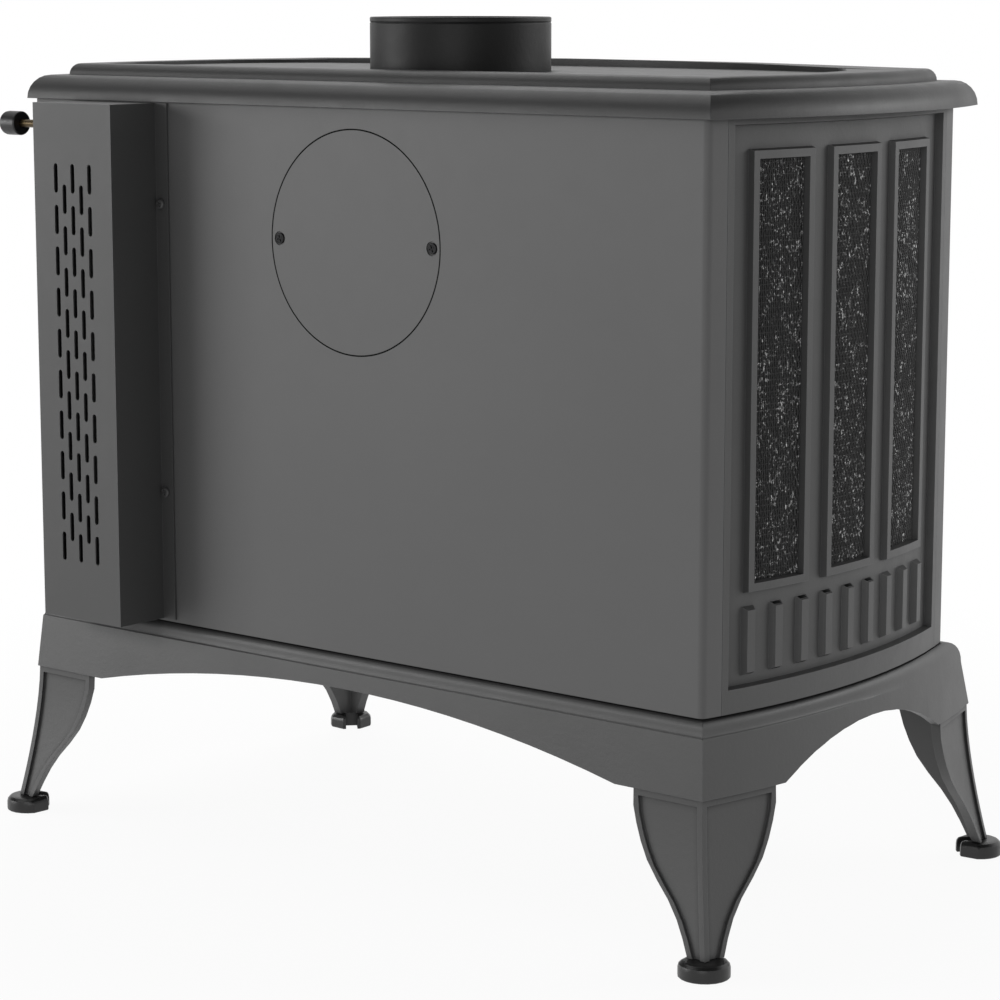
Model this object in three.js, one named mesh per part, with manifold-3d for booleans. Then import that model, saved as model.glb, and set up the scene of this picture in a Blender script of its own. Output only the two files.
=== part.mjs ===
// A cast iron wood stove with bowed side castings, Queen Anne legs and a vented air box.
// Lengths are millimetres, +Z is up and the door faces -Y.
import * as THREE from 'three';
import { mergeVertices } from 'three/addons/utils/BufferGeometryUtils.js';
import Module from 'manifold-3d';

const wasm = await Module();
wasm.setup();

// Shared clearances
const weld = 1e-4;
const overrun = 2;
const seatGap = 0.3;
const runGap = 0.35;

// Heights, from the floor up
const footHeight = 13.5;
const legHeight = 120.5;
const baseHeight = 61;
const bodyHeight = 451.6;
const lowerTierHeight = 20.4;
const upperTierHeight = 9.9;

// Plan of the body: a flat rear, bowed sides and a flat front
const bodyHalfWidth = 387;
const bodyBowRadius = 648;
const bodyBowMidY = -165;
const bodyFrontY = -355;
const bowSteps = 12;

// Base plinth
const baseSideOut = 0.3;
const baseBowRadius = 737;
const baseBowMidY = -175;
const baseFrontOut = 40;
const baseWall = 8;
const skirtOut = 8;
const creaseOut = 3.3;
const creaseDrop = 14;
const coveWidth = 2;
const coveHeight = 5.5;
const coveSteps = 3;
const shoulderWidth = 7.3;
const shoulderHeight = 7;
const shoulderSteps = 4;
const noseOut = 1.5;
const noseWidth = 45;
const noseHeight = 24;
const creaseFadeShare = 0.35;
const baseTopWall = 8;
const rearArchInset = 98.8;
const sideArchHalfSpan = 119;
const sideArchMidY = -199;
const archRise = 32.5;
const baseHoleInset = 107.3;
const baseHoleRearY = -70;
const baseHoleFrontInset = 65;

// Legs and feet
const legRearFace = 67;
const legSideFace = 80;
const legWall = 9;
const legInset = 1.5;
const legLean = 15;
const legBorder = 5;
const legRecess = 2.5;
const legLeanPower = 1.5;
const legHeightShares = [0, 0.125, 0.332, 0.49, 0.69, 0.84, 1];
const legWidthShares = [1, 1, 0.9, 0.764, 0.485, 0.35, 0.26];
const legSteps = 9;
const footRadius = 20.5;
const footInset = 7;
const footRound = 6;
const footRoundSteps = 3;
const footEdge = 1;
const footBack = 17.3;
const footBackHalfWidth = 9;
const footTaperAngle = 105;
const footSteps = 12;
const footSlotWidth = 11.5;
const footSlotLength = 15.3;

// Side castings, laid out along the arc of the bow from its middle
const sideRearY = -18.8;
const sideFrontInset = 19.5;
const sideWall = 12.5;
const fieldDepth = 6.5;
const fieldDraft = 1.2;
const rearBorder = 6.5;
const frontBorder = 8.2;
const bottomBorder = 19.2;
const topBorder = 4;
const windowCount = 3;
const windowWidth = 69;
const windowPitch = 92.4;
const windowTopInset = 23.9;
const windowBottom = 92.7;
const windowShift = -7.5;
const frameFace = 6;
const frameRise = 5;
const frameDraft = 1.4;
const frameInnerDraft = 1;
const rebateDepth = 4.7;
const rebateMargin = 3.5;
const meshWall = 2.5;
const ribCount = 9;
const ribPitch = 31.1;
const ribShift = -8.5;
const ribWidth = 13.5;
const ribHeight = 54;
const ribBottom = 27.2;
const ribRise = 5;
const ribDraft = 2.8;
const ribSkin = 1.8;
const louvreWall = 2.2;
const louvreEnd = 0.4;
const firstLouvre = 1;
const lastLouvre = 5;

// Top plate
const topSideOut = 14.8;
const topBowRadius = 567;
const topBowMidY = -180;
const topRearY = 5;
const topFrontOut = 32;
const lowerRoundWidth = 17.5;
const upperTierInset = 30.5;
const upperRoundWidth = 8.5;
const frontCrown = 3.2;
const frontCrownInset = 71.8;
const recessDepth = 3.2;
const recessRearY = -45;
const recessFrontInset = 93;
const recessFrontBow = 42;
const recessShoulderY = -165;
const recessRearSideInset = 79.8;
const recessSideInset = 61.8;
const recessFrontSideInset = 116.8;
const topRimWidth = 45;
const topWall = 8;
const tierSteps = 6;

// Flue collar and rear flue cover share one centre line
const flueX = -13.7;
const flueY = -134.4;
const flueOuterRadius = 76;
const flueWall = 6;
const flueHeight = 41.8;
const flueFlange = 17;
const flueFlangeWall = 6;
const flueGroove = 0.7;
const flueLip = 4.5;
const flueSteps = 40;
const coverRadius = 91.7;
const coverGap = 0.7;
const coverDrop = 108.6;
const coverScrewReach = 83.2;
const coverDimpleRadius = 6;
const coverDimpleDepth = 1.2;
const ringMargin = 13;
const ringWidth = 30;
const ringWall = 2.5;

// Rear panel
const panelWall = 2;
const panelBend = 5;

// Screws
const screwHeadRadius = 4.6;
const screwHeadHeight = 2.6;
const coverHeadHeight = 0.9;
const screwRadius = 2.2;
const screwLength = 8;
const screwSteps = 12;

// Vented air box
const ventSideInset = 174;
const ventWidth = 96;
const ventDepth = 54;
const ventFootGap = 3;
const ventTopGap = 0.6;
const ventWall = 1.5;
const ventFlange = 14;
const ventScrewLow = 112.5;
const ventScrewTopInset = 85.5;
const ventScrewInset = 5.5;
const slotColumns = 5;
const slotMargin = 40;
const slotColumnPitch = 10.4;
const slotPitch = 35.6;
const slotLength = 25.5;
const slotWidth = 4.8;

// Air control: a rod that slides a damper plate across a port
const rodRadius = 3.45;
const rodY = 27;
const rodDrop = 20;
const rodReach = 57;
const knobRadius = 10.5;
const knobLength = 21;
const knobBore = 13;
const knobRound = 5;
const knobEdge = 1;
const bushRadius = 6.8;
const bushFlange = 10;
const bushFlangeWall = 2;
const bushTail = 4;
const bracketWall = 2;
const bracketInset = 53;
const bracketReach = 9;
const bracketFoot = 16;
const bracketHeight = 24;
const damperWall = 2;
const damperWidth = 42;
const damperHeight = 58;
const damperTop = 16;
const damperInset = 1.5;
const damperArmReach = 8;
const portMargin = 6;

// Firebox
const fireboxSideGap = 69;
const fireboxRearY = -24;
const fireboxWall = 5;
const flueBore = 70;
const inletHeight = 40;
const inletBottom = 58;
const ductWall = 1.5;
const ductMargin = 7;
const ductBottom = 46;

// Firebox lining
const brickWall = 25;
const brickFloor = 30;
const smokeHeight = 70;
const brickRear = 14;
const tubeCount = 3;
const tubeRadius = 10;
const tubeWall = 2;
const tubeRearY = -90;
const tubePitch = 80;
const tubeGap = 8;
const tubeSteps = 14;
const baffleWall = 20;
const baffleInset = 110;
const guardInset = 36;
const guardWall = 7;
const guardHeight = 36;
const guardSideInset = 48;

// Front casting and door
const frontWall = 9;
const frontReturn = 19;
const doorSideInset = 167;
const doorOpeningBottom = 70;
const doorTopInset = 83.6;
const doorLap = 22;
const doorLapTop = 18;
const doorWall = 11.5;
const doorStandoff = 3.5;
const doorEdgeDraft = 3;
const glassSideInset = 48;
const glassBottom = 108;
const glassSpringDrop = 60;
const glassRise = 30;
const glassSteps = 6;
const mouldingWidth = 14;
const mouldingRise = 3;
const mouldingDraft = 2;
const glassRebate = 6.2;
const glassMargin = 8.5;
const glassWall = 4;
const glassGasketWall = 1.2;
const glassGasketWidth = 7;
const clipWall = 1.8;
const clipWidth = 16;
const clipOverlap = 7;
const lowerClipInset = 32;
const upperClipHalfWidth = 45;
const gasketWidth = 8;
const gasketInset = 6;
const gasketChannel = 2.5;
const frontPanelInset = 53;
const frontPanelWidth = 52;
const frontPanelMargin = 30;
const frontPanelDepth = 4;
const frontPanelDraft = 2;
const lipInset = 30;
const lipReach = 20;
const lipWall = 5;
const lipEdge = 5;
const lipHeight = 38;

// Door hinges
const hingeRadius = 8;
const hingePinRadius = 4;
const hingeOut = 12;
const hingeForward = 13;
const hingeLug = 14;
const hingeKnuckle = 24;
const hingeLowInset = 30;
const hingeHighInset = 68;
const hingePinTip = 3;
const hingePinChamfer = 1;
const hingeWeb = 8;
const hingeSteps = 20;

// Door handle
const handleInset = 36;
const shaftRadius = 5;
const shaftOut = 20;
const shaftHead = 8.5;
const shaftHeadWall = 4;
const handleBushWall = 4;
const handleBushOut = 3;
const camWall = 8;
const camHalfWidth = 8;
const camLength = 38;
const camGap = 2.7;
const handleArm = 128;
const gripLength = 88;
const gripRadius = 12;
const gripEndRadius = 8;
const gripWaistShares = [0, 0.12, 0.45, 0.8, 1];
const gripSwellShares = [0, 0.7, 1, 0.6, 0];
const gripSteps = 16;

// Levels and places that follow from the sizes above
const baseHalfWidth = bodyHalfWidth + baseSideOut;
const baseFrontY = bodyFrontY - baseFrontOut;
const rearArchHalfSpan = baseHalfWidth - rearArchInset;
const baseHoleHalfWidth = baseHalfWidth - baseHoleInset;
const baseHoleFrontY = baseFrontY + baseHoleFrontInset;
const shoulderOut = creaseOut - coveWidth;
const sideFrontY = bodyFrontY + sideFrontInset;
const topHalfWidth = bodyHalfWidth + topSideOut;
const topFrontY = bodyFrontY - topFrontOut;
const rimInset = upperTierInset + upperRoundWidth;
const crownHalfSpan = topHalfWidth - frontCrownInset;
const recessFrontY = topFrontY + recessFrontInset;
const recessRearHalfWidth = topHalfWidth - recessRearSideInset;
const recessHalfWidth = topHalfWidth - recessSideInset;
const recessFrontHalfWidth = topHalfWidth - recessFrontSideInset;
const ventInnerX = bodyHalfWidth - ventSideInset;
const bracketX = ventInnerX + bracketInset;
const fireboxHalfWidth = bodyHalfWidth - fireboxSideGap;
const baffleFrontY = bodyFrontY + baffleInset;
const guardY = bodyFrontY + guardInset;
const guardHalfWidth = fireboxHalfWidth - guardSideInset;
const doorOpeningHalfWidth = bodyHalfWidth - doorSideInset;
const glassHalfWidth = doorOpeningHalfWidth - glassSideInset;
const lowerClipHalfWidth = glassHalfWidth - lowerClipInset;
const frontPanelOuterX = bodyHalfWidth - frontPanelInset;
const frontPanelInnerX = frontPanelOuterX - frontPanelWidth;
const lipHalfWidth = doorOpeningHalfWidth - lipInset;
const legTopZ = footHeight + legHeight;
const baseTopZ = legTopZ + baseHeight;
const bodyZ = baseTopZ + seatGap;
const bodyTopZ = bodyZ + bodyHeight;
const topZ = bodyTopZ + seatGap;
const ledgeZ = topZ + lowerTierHeight;
const rimZ = ledgeZ + upperTierHeight;
const recessZ = rimZ - recessDepth;
const fieldBack = -sideWall;
const fieldFront = -fieldDepth;
const coverZ = bodyTopZ - coverDrop;
const windowHeight = bodyHeight - windowBottom - windowTopInset;
const ventHeight = bodyHeight - ventFootGap - ventTopGap;
const ventScrewHeights = [ventScrewLow, ventHeight - ventScrewTopInset];
const slotRows = Math.floor((ventHeight - 2 * slotMargin - slotLength) / slotPitch) + 1;
const ventZ = bodyZ + ventFootGap;
const ventTopZ = ventZ + ventHeight;
const ventOuterX = ventInnerX + ventWidth;
const rodZ = ventTopZ - rodDrop;
const fireboxFrontY = bodyFrontY + frontWall + seatGap;
const innerHalfWidth = fireboxHalfWidth - fireboxWall;
const innerFloorZ = bodyZ + fireboxWall;
const innerHeight = bodyHeight - 2 * fireboxWall;
const tubeSpace = 2 * (tubeRadius + seatGap) + tubeGap;
const brickHeight = innerHeight - brickFloor - tubeSpace - baffleWall - smokeHeight;
const doorOpeningTop = bodyHeight - doorTopInset;
const glassSpring = doorOpeningTop - glassSpringDrop;
const hingeHeights = [doorOpeningBottom + hingeLowInset, doorOpeningTop - hingeHighInset];
const handleHeight = (doorOpeningBottom + doorOpeningTop) / 2;
const doorBackY = bodyFrontY - doorStandoff;
const doorFrontY = doorBackY - doorWall;
const doorHalfWidth = doorOpeningHalfWidth + doorLap;
const doorBottomZ = bodyZ + doorOpeningBottom - doorLapTop;
const doorTopZ = bodyZ + doorOpeningTop + doorLapTop;
const hingeX = -doorHalfWidth - hingeOut;
const hingeY = bodyFrontY - hingeForward;
const shaftX = doorHalfWidth - handleInset;
const shaftZ = bodyZ + handleHeight;

// Finishes
function finish(color, roughness, metalness) {
  return { color, roughness, metalness };
}
const castFinish = finish(0x57585a, 0.62, 0.35);
const panelFinish = finish(0x616263, 0.6, 0.3);
const collarFinish = finish(0x2c2c2d, 0.55, 0.3);
const footFinish = finish(0x2b2b2c, 0.35, 0.4);
const meshFinish = finish(0x1d1d1e, 0.45, 0.5);
const knobFinish = finish(0x141414, 0.4, 0);
const brassFinish = finish(0x8a6a35, 0.35, 1);
const steelFinish = finish(0x4a4b4d, 0.5, 0.7);
const screwFinish = finish(0x2a2a2b, 0.4, 0.8);
const brickFinish = finish(0xb9a078, 0.95, 0);
const baffleFinish = finish(0xc9b48c, 0.95, 0);
const tubeFinish = finish(0x8c8d90, 0.4, 0.9);
const gasketFinish = finish(0x3a3936, 0.95, 0);
const glassFinish = finish(0x2a2622, 0.06, 0);
const gripFinish = finish(0x191817, 0.45, 0);

// A closed geometry as a solid
function solid(geometry) {
  const bare = new THREE.BufferGeometry();
  bare.setAttribute('position', geometry.getAttribute('position').clone());
  if (geometry.index) {
    bare.setIndex(geometry.index.clone());
  }
  const merged = mergeVertices(bare, weld);
  return new wasm.Manifold(new wasm.Mesh({
    numProp: 3,
    vertProperties: new Float32Array(merged.getAttribute('position').array),
    triVerts: new Uint32Array(merged.index.array),
  }));
}

// A solid as a geometry
function toGeometry(body) {
  const mesh = body.getMesh();
  const geometry = new THREE.BufferGeometry();
  geometry.setAttribute('position', new THREE.BufferAttribute(mesh.vertProperties, 3));
  geometry.setIndex(new THREE.BufferAttribute(mesh.triVerts, 1));
  return geometry;
}

function piece(name, body, look) {
  const flat = toGeometry(body).toNonIndexed();
  flat.computeVertexNormals();
  const material = new THREE.MeshStandardMaterial(look);
  const mesh = new THREE.Mesh(flat, material);
  mesh.name = name;
  return mesh;
}

function union(bodies) {
  return bodies.reduce((whole, next) => whole.add(next));
}

// Rings of points joined side to side and capped, wound so that the faces point out
function stack(rings, cap = null) {
  const count = rings[0].length;
  const faces = [];
  rings.slice(1).forEach((ring, level) => {
    ring.forEach((point, i) => {
      const j = (i + 1) % count;
      const low = level * count;
      const high = low + count;
      faces.push([low + i, low + j, high + j], [low + i, high + j, high + i]);
    });
  });
  const top = (rings.length - 1) * count;
  const fan = cap ?? rings[0].slice(2).map((point, i) => [0, i + 1, i + 2]);
  fan.forEach(([a, b, c]) => {
    faces.push([a, c, b], [top + a, top + b, top + c]);
  });
  const points = rings.flat();
  const volume = faces.reduce((sum, [a, b, c]) => {
    return sum + points[a].dot(points[b].clone().cross(points[c]));
  }, 0);
  const wound = volume < 0 ? faces.map(([a, b, c]) => [a, c, b]) : faces;
  const geometry = new THREE.BufferGeometry().setFromPoints(points);
  geometry.setIndex(wound.flat());
  return solid(geometry);
}

function box(x0, x1, y0, y1, z0, z1) {
  const geometry = new THREE.BoxGeometry(x1 - x0, y1 - y0, z1 - z0);
  geometry.translate((x0 + x1) / 2, (y0 + y1) / 2, (z0 + z1) / 2);
  return solid(geometry);
}

// A block seen from the front whose edges slope from a large face to a small one
function slopedBlock(x0, x1, z0, z1, largeY, smallY, draft) {
  const rings = [[0, largeY], [draft, smallY]].map(([inset, y]) => [
    new THREE.Vector3(x0 + inset, y, z0 + inset),
    new THREE.Vector3(x1 - inset, y, z0 + inset),
    new THREE.Vector3(x1 - inset, y, z1 - inset),
    new THREE.Vector3(x0 + inset, y, z1 - inset),
  ]);
  return stack(rings);
}

function prism(shape, depth, curveSegments) {
  return new THREE.ExtrudeGeometry(shape, { depth, bevelEnabled: false, curveSegments });
}

// A shape drawn in X and Z, extruded from nearY towards -Y
function frontPrism(shape, nearY, depth, curveSegments) {
  const geometry = prism(shape, depth, curveSegments);
  geometry.rotateX(Math.PI / 2);
  geometry.translate(0, nearY, 0);
  return solid(geometry);
}

// A cylinder from one point to another
function bar(radius, from, to, segments) {
  const start = new THREE.Vector3(...from);
  const way = new THREE.Vector3(...to).sub(start);
  const geometry = new THREE.CylinderGeometry(radius, radius, way.length(), segments);
  geometry.translate(0, way.length() / 2, 0);
  geometry.applyQuaternion(new THREE.Quaternion().setFromUnitVectors(
    new THREE.Vector3(0, 1, 0),
    way.normalize(),
  ));
  geometry.translate(...from);
  return solid(geometry);
}

// A turned profile of [radius, height] pairs about a line through from, along axis
function turned(profile, from, axis, segments) {
  const points = profile.map(([radius, height]) => new THREE.Vector2(radius, height));
  const geometry = new THREE.LatheGeometry(points, segments);
  geometry.applyQuaternion(new THREE.Quaternion().setFromUnitVectors(
    new THREE.Vector3(0, 1, 0),
    new THREE.Vector3(...axis),
  ));
  geometry.translate(...from);
  const body = solid(geometry);
  return body.volume() > 0 ? body : solid(turnInsideOut(geometry));
}

function turnInsideOut(geometry) {
  const index = geometry.index.array;
  const flipped = [];
  for (let i = 0; i < index.length; i += 3) {
    flipped.push(index[i], index[i + 2], index[i + 1]);
  }
  const copy = geometry.clone();
  copy.setIndex(flipped);
  return copy;
}

function mirrored(body) {
  const geometry = toGeometry(body);
  geometry.scale(-1, 1, 1);
  return solid(turnInsideOut(geometry));
}

function rectangle(x0, x1, y0, y1) {
  const shape = new THREE.Shape();
  shape.moveTo(x0, y0).lineTo(x1, y0).lineTo(x1, y1).lineTo(x0, y1);
  return shape;
}

// One horizontal ring of the stove's plan, grown by off, and by frontOff at the front
function planRing(plan, off, z, frontOff = off) {
  const radius = plan.radius + off;
  const centreX = plan.radius - plan.halfWidth;
  const rearAngle = Math.asin((plan.rearY + off - plan.midY) / radius);
  const frontAngle = Math.asin((plan.frontY - frontOff - plan.midY) / radius);
  const left = Array.from({ length: bowSteps + 1 }, (unused, i) => {
    const angle = THREE.MathUtils.lerp(rearAngle, frontAngle, i / bowSteps);
    const x = centreX - radius * Math.cos(angle);
    return new THREE.Vector3(x, plan.midY + radius * Math.sin(angle), z);
  });
  const right = left.map((point) => new THREE.Vector3(-point.x, point.y, z));
  return left.concat(right.reverse());
}

function planX(plan, off, y) {
  const radius = plan.radius + off;
  return plan.radius - plan.halfWidth - Math.sqrt(radius ** 2 - (y - plan.midY) ** 2);
}

// Offsets and levels of a quarter round that starts upright and ends flat
function quarterRound(off, z, width, height, steps) {
  return Array.from({ length: steps + 1 }, (unused, i) => {
    const angle = (i / steps) * (Math.PI / 2);
    return [off - width * (1 - Math.cos(angle)), z + height * Math.sin(angle)];
  });
}

const bodyPlan = {
  halfWidth: bodyHalfWidth,
  radius: bodyBowRadius,
  midY: bodyBowMidY,
  rearY: 0,
  frontY: bodyFrontY,
};
const basePlan = {
  halfWidth: baseHalfWidth,
  radius: baseBowRadius,
  midY: baseBowMidY,
  rearY: 0,
  frontY: baseFrontY,
};
const topPlan = {
  halfWidth: topHalfWidth,
  radius: topBowRadius,
  midY: topBowMidY,
  rearY: topRearY,
  frontY: topFrontY,
};

// Segment of a circle with a given half span and rise, standing on a level line
function archShape(midX, halfSpan, rise, z) {
  const radius = (halfSpan ** 2 + rise ** 2) / (2 * rise);
  const angle = Math.asin(halfSpan / radius);
  const shape = new THREE.Shape();
  shape.moveTo(midX - halfSpan, z - overrun);
  shape.lineTo(midX + halfSpan, z - overrun);
  shape.absarc(midX, z + rise - radius, radius, Math.PI / 2 - angle, Math.PI / 2 + angle, false);
  return shape;
}

// Offset of the base's rounded front nose at a height
function noseOff(z) {
  const rise = Math.max(0, (z - baseTopZ + noseHeight) / noseHeight);
  return noseOut - noseWidth * (1 - Math.sqrt(1 - rise ** 2));
}

// The base's outline: its crease, cove and shoulder fade along the sides into the plain front nose
function baseRings(creased) {
  const sideWidth = noseOut - shoulderOut + shoulderWidth;
  const noseZ = baseTopZ - noseHeight;
  const steps = creased.length - 2;
  const plain = [[skirtOut, legTopZ], ...quarterRound(noseOut, noseZ, sideWidth, noseHeight, steps)];
  return creased.map(([off, z], level) => {
    const [plainOff, plainZ] = plain[level];
    const frontOff = level === 0 ? skirtOut : noseOff(plainZ);
    const rear = planRing(basePlan, off, z, frontOff);
    const front = planRing(basePlan, plainOff, plainZ, frontOff);
    return rear.map((point, i) => {
      const share = Math.min(i, rear.length - 1 - i) / bowSteps;
      return point.lerp(front[i], THREE.MathUtils.smoothstep(share, creaseFadeShare, 1));
    });
  });
}

function makeBase() {
  const creaseZ = baseTopZ - creaseDrop;
  const cove = Array.from({ length: coveSteps + 1 }, (unused, i) => {
    const angle = (i / coveSteps) * (Math.PI / 2);
    return [creaseOut - coveWidth * Math.sin(angle), creaseZ + coveHeight * (1 - Math.cos(angle))];
  });
  const shoulderZ = baseTopZ - shoulderHeight;
  const round = quarterRound(shoulderOut, shoulderZ, shoulderWidth, shoulderHeight, shoulderSteps);
  const outer = [[skirtOut, legTopZ], ...cove, ...round];
  const innerTopOff = shoulderOut - shoulderWidth - baseWall;
  const innerTopZ = baseTopZ - baseTopWall;
  const inner = [
    [skirtOut - baseWall, legTopZ - overrun, skirtOut - baseWall],
    [shoulderOut - baseWall, creaseZ, noseOff(creaseZ) - baseWall],
    [innerTopOff, innerTopZ, noseOff(innerTopZ) - 2 * baseWall],
  ];
  const shell = stack(baseRings(outer));
  const hollow = stack(inner.map(([off, z, frontOff]) => planRing(basePlan, off, z, frontOff)));
  const rearReach = skirtOut + overrun;
  const frontReach = rearReach - baseFrontY;
  const rearArch = frontPrism(
    archShape(0, rearArchHalfSpan, archRise, legTopZ),
    rearReach,
    rearReach + frontReach,
    10,
  );
  const sideReach = baseHalfWidth + skirtOut + overrun;
  const sideCut = prism(archShape(sideArchMidY, sideArchHalfSpan, archRise, legTopZ), sideReach * 2, 6);
  sideCut.rotateX(Math.PI / 2);
  sideCut.rotateZ(Math.PI / 2);
  sideCut.translate(-sideReach, 0, 0);
  const hole = box(
    -baseHoleHalfWidth,
    baseHoleHalfWidth,
    baseHoleFrontY,
    baseHoleRearY,
    baseTopZ - baseTopWall - overrun,
    baseTopZ + overrun,
  );
  return shell.subtract(hollow).subtract(rearArch).subtract(solid(sideCut)).subtract(hole);
}

// Width of a leg's face, as a share of its width at the top, at a share of the way down
const legOutline = new THREE.SplineCurve(
  legHeightShares.map((share, i) => new THREE.Vector2(share, legWidthShares[i])),
).getPoints(4 * legSteps);
function legWidthShare(drop) {
  const next = Math.max(1, legOutline.findIndex((point) => point.x >= drop));
  const low = legOutline[next - 1];
  const high = legOutline[next];
  return THREE.MathUtils.mapLinear(drop, low.x, high.x, low.y, high.y);
}

// The -X legs: a rear or front face along X and a side face that follows the bow
function legCorner(front) {
  const sign = front ? 1 : -1;
  const edgeY = front ? baseFrontY - skirtOut : skirtOut;
  const cornerX = planX(basePlan, skirtOut, edgeY);
  const farY = edgeY + sign * legSideFace;
  const farX = planX(basePlan, skirtOut, farY);
  const along = new THREE.Vector3(1, 0, 0);
  const side = new THREE.Vector3(farX - cornerX, farY - edgeY, 0).normalize();
  const out = new THREE.Vector3(-1, -sign, 0);
  const corner = new THREE.Vector3(cornerX, edgeY, legTopZ - seatGap);
  corner.addScaledVector(along, legInset).addScaledVector(side, legInset);
  return { corner, along, side, out };
}

function legPoint(frame, drop, a, b) {
  const lean = legLean * drop ** legLeanPower;
  const height = legHeight - 2 * seatGap;
  return frame.corner.clone()
    .addScaledVector(frame.out, lean)
    .addScaledVector(frame.along, a)
    .addScaledVector(frame.side, b)
    .setZ(frame.corner.z - height * drop);
}

function makeLeg(frame) {
  const drops = Array.from({ length: legSteps + 1 }, (unused, i) => i / legSteps);
  const rings = drops.map((drop) => {
    const a = (legRearFace - legInset) * legWidthShare(drop);
    const b = (legSideFace - legInset) * legWidthShare(drop);
    return [[0, 0], [a, 0], [a, legWall], [legWall, legWall], [legWall, b], [0, b]]
      .map(([u, v]) => legPoint(frame, drop, u, v));
  });
  const halves = [[0, 1, 3], [1, 2, 3], [0, 3, 5], [3, 4, 5]];
  const bodyOfLeg = stack(rings, halves);
  const fieldTop = legBorder / legHeight;
  const fieldDrops = drops.map((drop) => THREE.MathUtils.lerp(fieldTop, 1, drop));
  const rearField = stack(fieldDrops.map((drop) => {
    const a = (legRearFace - legInset) * legWidthShare(drop) - legBorder;
    return [[legBorder, -overrun], [a, -overrun], [a, legRecess], [legBorder, legRecess]]
      .map(([u, v]) => legPoint(frame, drop, u, v));
  }));
  const sideField = stack(fieldDrops.map((drop) => {
    const b = (legSideFace - legInset) * legWidthShare(drop) - legBorder;
    return [[-overrun, legBorder], [-overrun, b], [legRecess, b], [legRecess, legBorder]]
      .map(([u, v]) => legPoint(frame, drop, u, v));
  }));
  return bodyOfLeg.subtract(rearField).subtract(sideField);
}

// A foot pad: round outside, tapering inwards, with a rounded top and a slot for its fixing
function footRing(inset, z) {
  const radius = footRadius - inset;
  const halfAngle = THREE.MathUtils.degToRad(footTaperAngle);
  const points = Array.from({ length: footSteps + 1 }, (unused, i) => {
    const angle = THREE.MathUtils.lerp(-halfAngle, halfAngle, i / footSteps);
    return new THREE.Vector3(radius * Math.cos(angle), radius * Math.sin(angle), z);
  });
  const backHalf = footBackHalfWidth - inset / 2;
  points.push(new THREE.Vector3(inset / 2 - footBack, backHalf, z));
  points.push(new THREE.Vector3(inset / 2 - footBack, -backHalf, z));
  return points;
}

function makeFoot() {
  const round = quarterRound(footRound, footHeight - footRound, footRound, footRound, footRoundSteps);
  const levels = [[footEdge, 0], [0, footEdge], ...round.map(([off, z]) => [footRound - off, z])];
  const pad = stack(levels.map(([inset, z]) => footRing(inset, z)));
  const slot = box(
    -footBack - overrun,
    footSlotLength - footBack,
    -footSlotWidth / 2,
    footSlotWidth / 2,
    -overrun,
    footHeight + overrun,
  );
  return pad.subtract(slot);
}

// A block wrapped on the -X bow: s runs along its arc, depth is above the border's face
function bowBlock(s0, s1, z0, z1, largeDepth, smallDepth, draft = 0, steps = bowSteps) {
  const centreX = bodyBowRadius - bodyHalfWidth;
  const rings = Array.from({ length: steps + 1 }, (unused, i) => {
    const corner = (inset, depth, z) => {
      const s = THREE.MathUtils.lerp(s0 + inset, s1 - inset, i / steps);
      const angle = s / bodyBowRadius;
      const radius = bodyBowRadius + depth;
      const x = centreX - radius * Math.cos(angle);
      return new THREE.Vector3(x, bodyBowMidY + radius * Math.sin(angle), z);
    };
    return [
      corner(0, largeDepth, z0),
      corner(0, largeDepth, z1),
      corner(draft, smallDepth, z1 - draft),
      corner(draft, smallDepth, z0 + draft),
    ];
  });
  return stack(rings);
}

function bowArc(y) {
  return bodyBowRadius * Math.asin((y - bodyBowMidY) / bodyBowRadius);
}

// Arc middle of window i and of rib i, counted from the rear
function windowMid(i) {
  return windowShift + ((windowCount - 1) / 2 - i) * windowPitch;
}
function ribMid(i) {
  return ribShift + ((ribCount - 1) / 2 - i) * ribPitch;
}

function windowBlock(i, inset, largeDepth, smallDepth, draft) {
  const half = windowWidth / 2 - inset;
  const z = bodyZ + windowBottom;
  const low = z + inset;
  const high = z + windowHeight - inset;
  return bowBlock(windowMid(i) - half, windowMid(i) + half, low, high, largeDepth, smallDepth, draft, 3);
}

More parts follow.
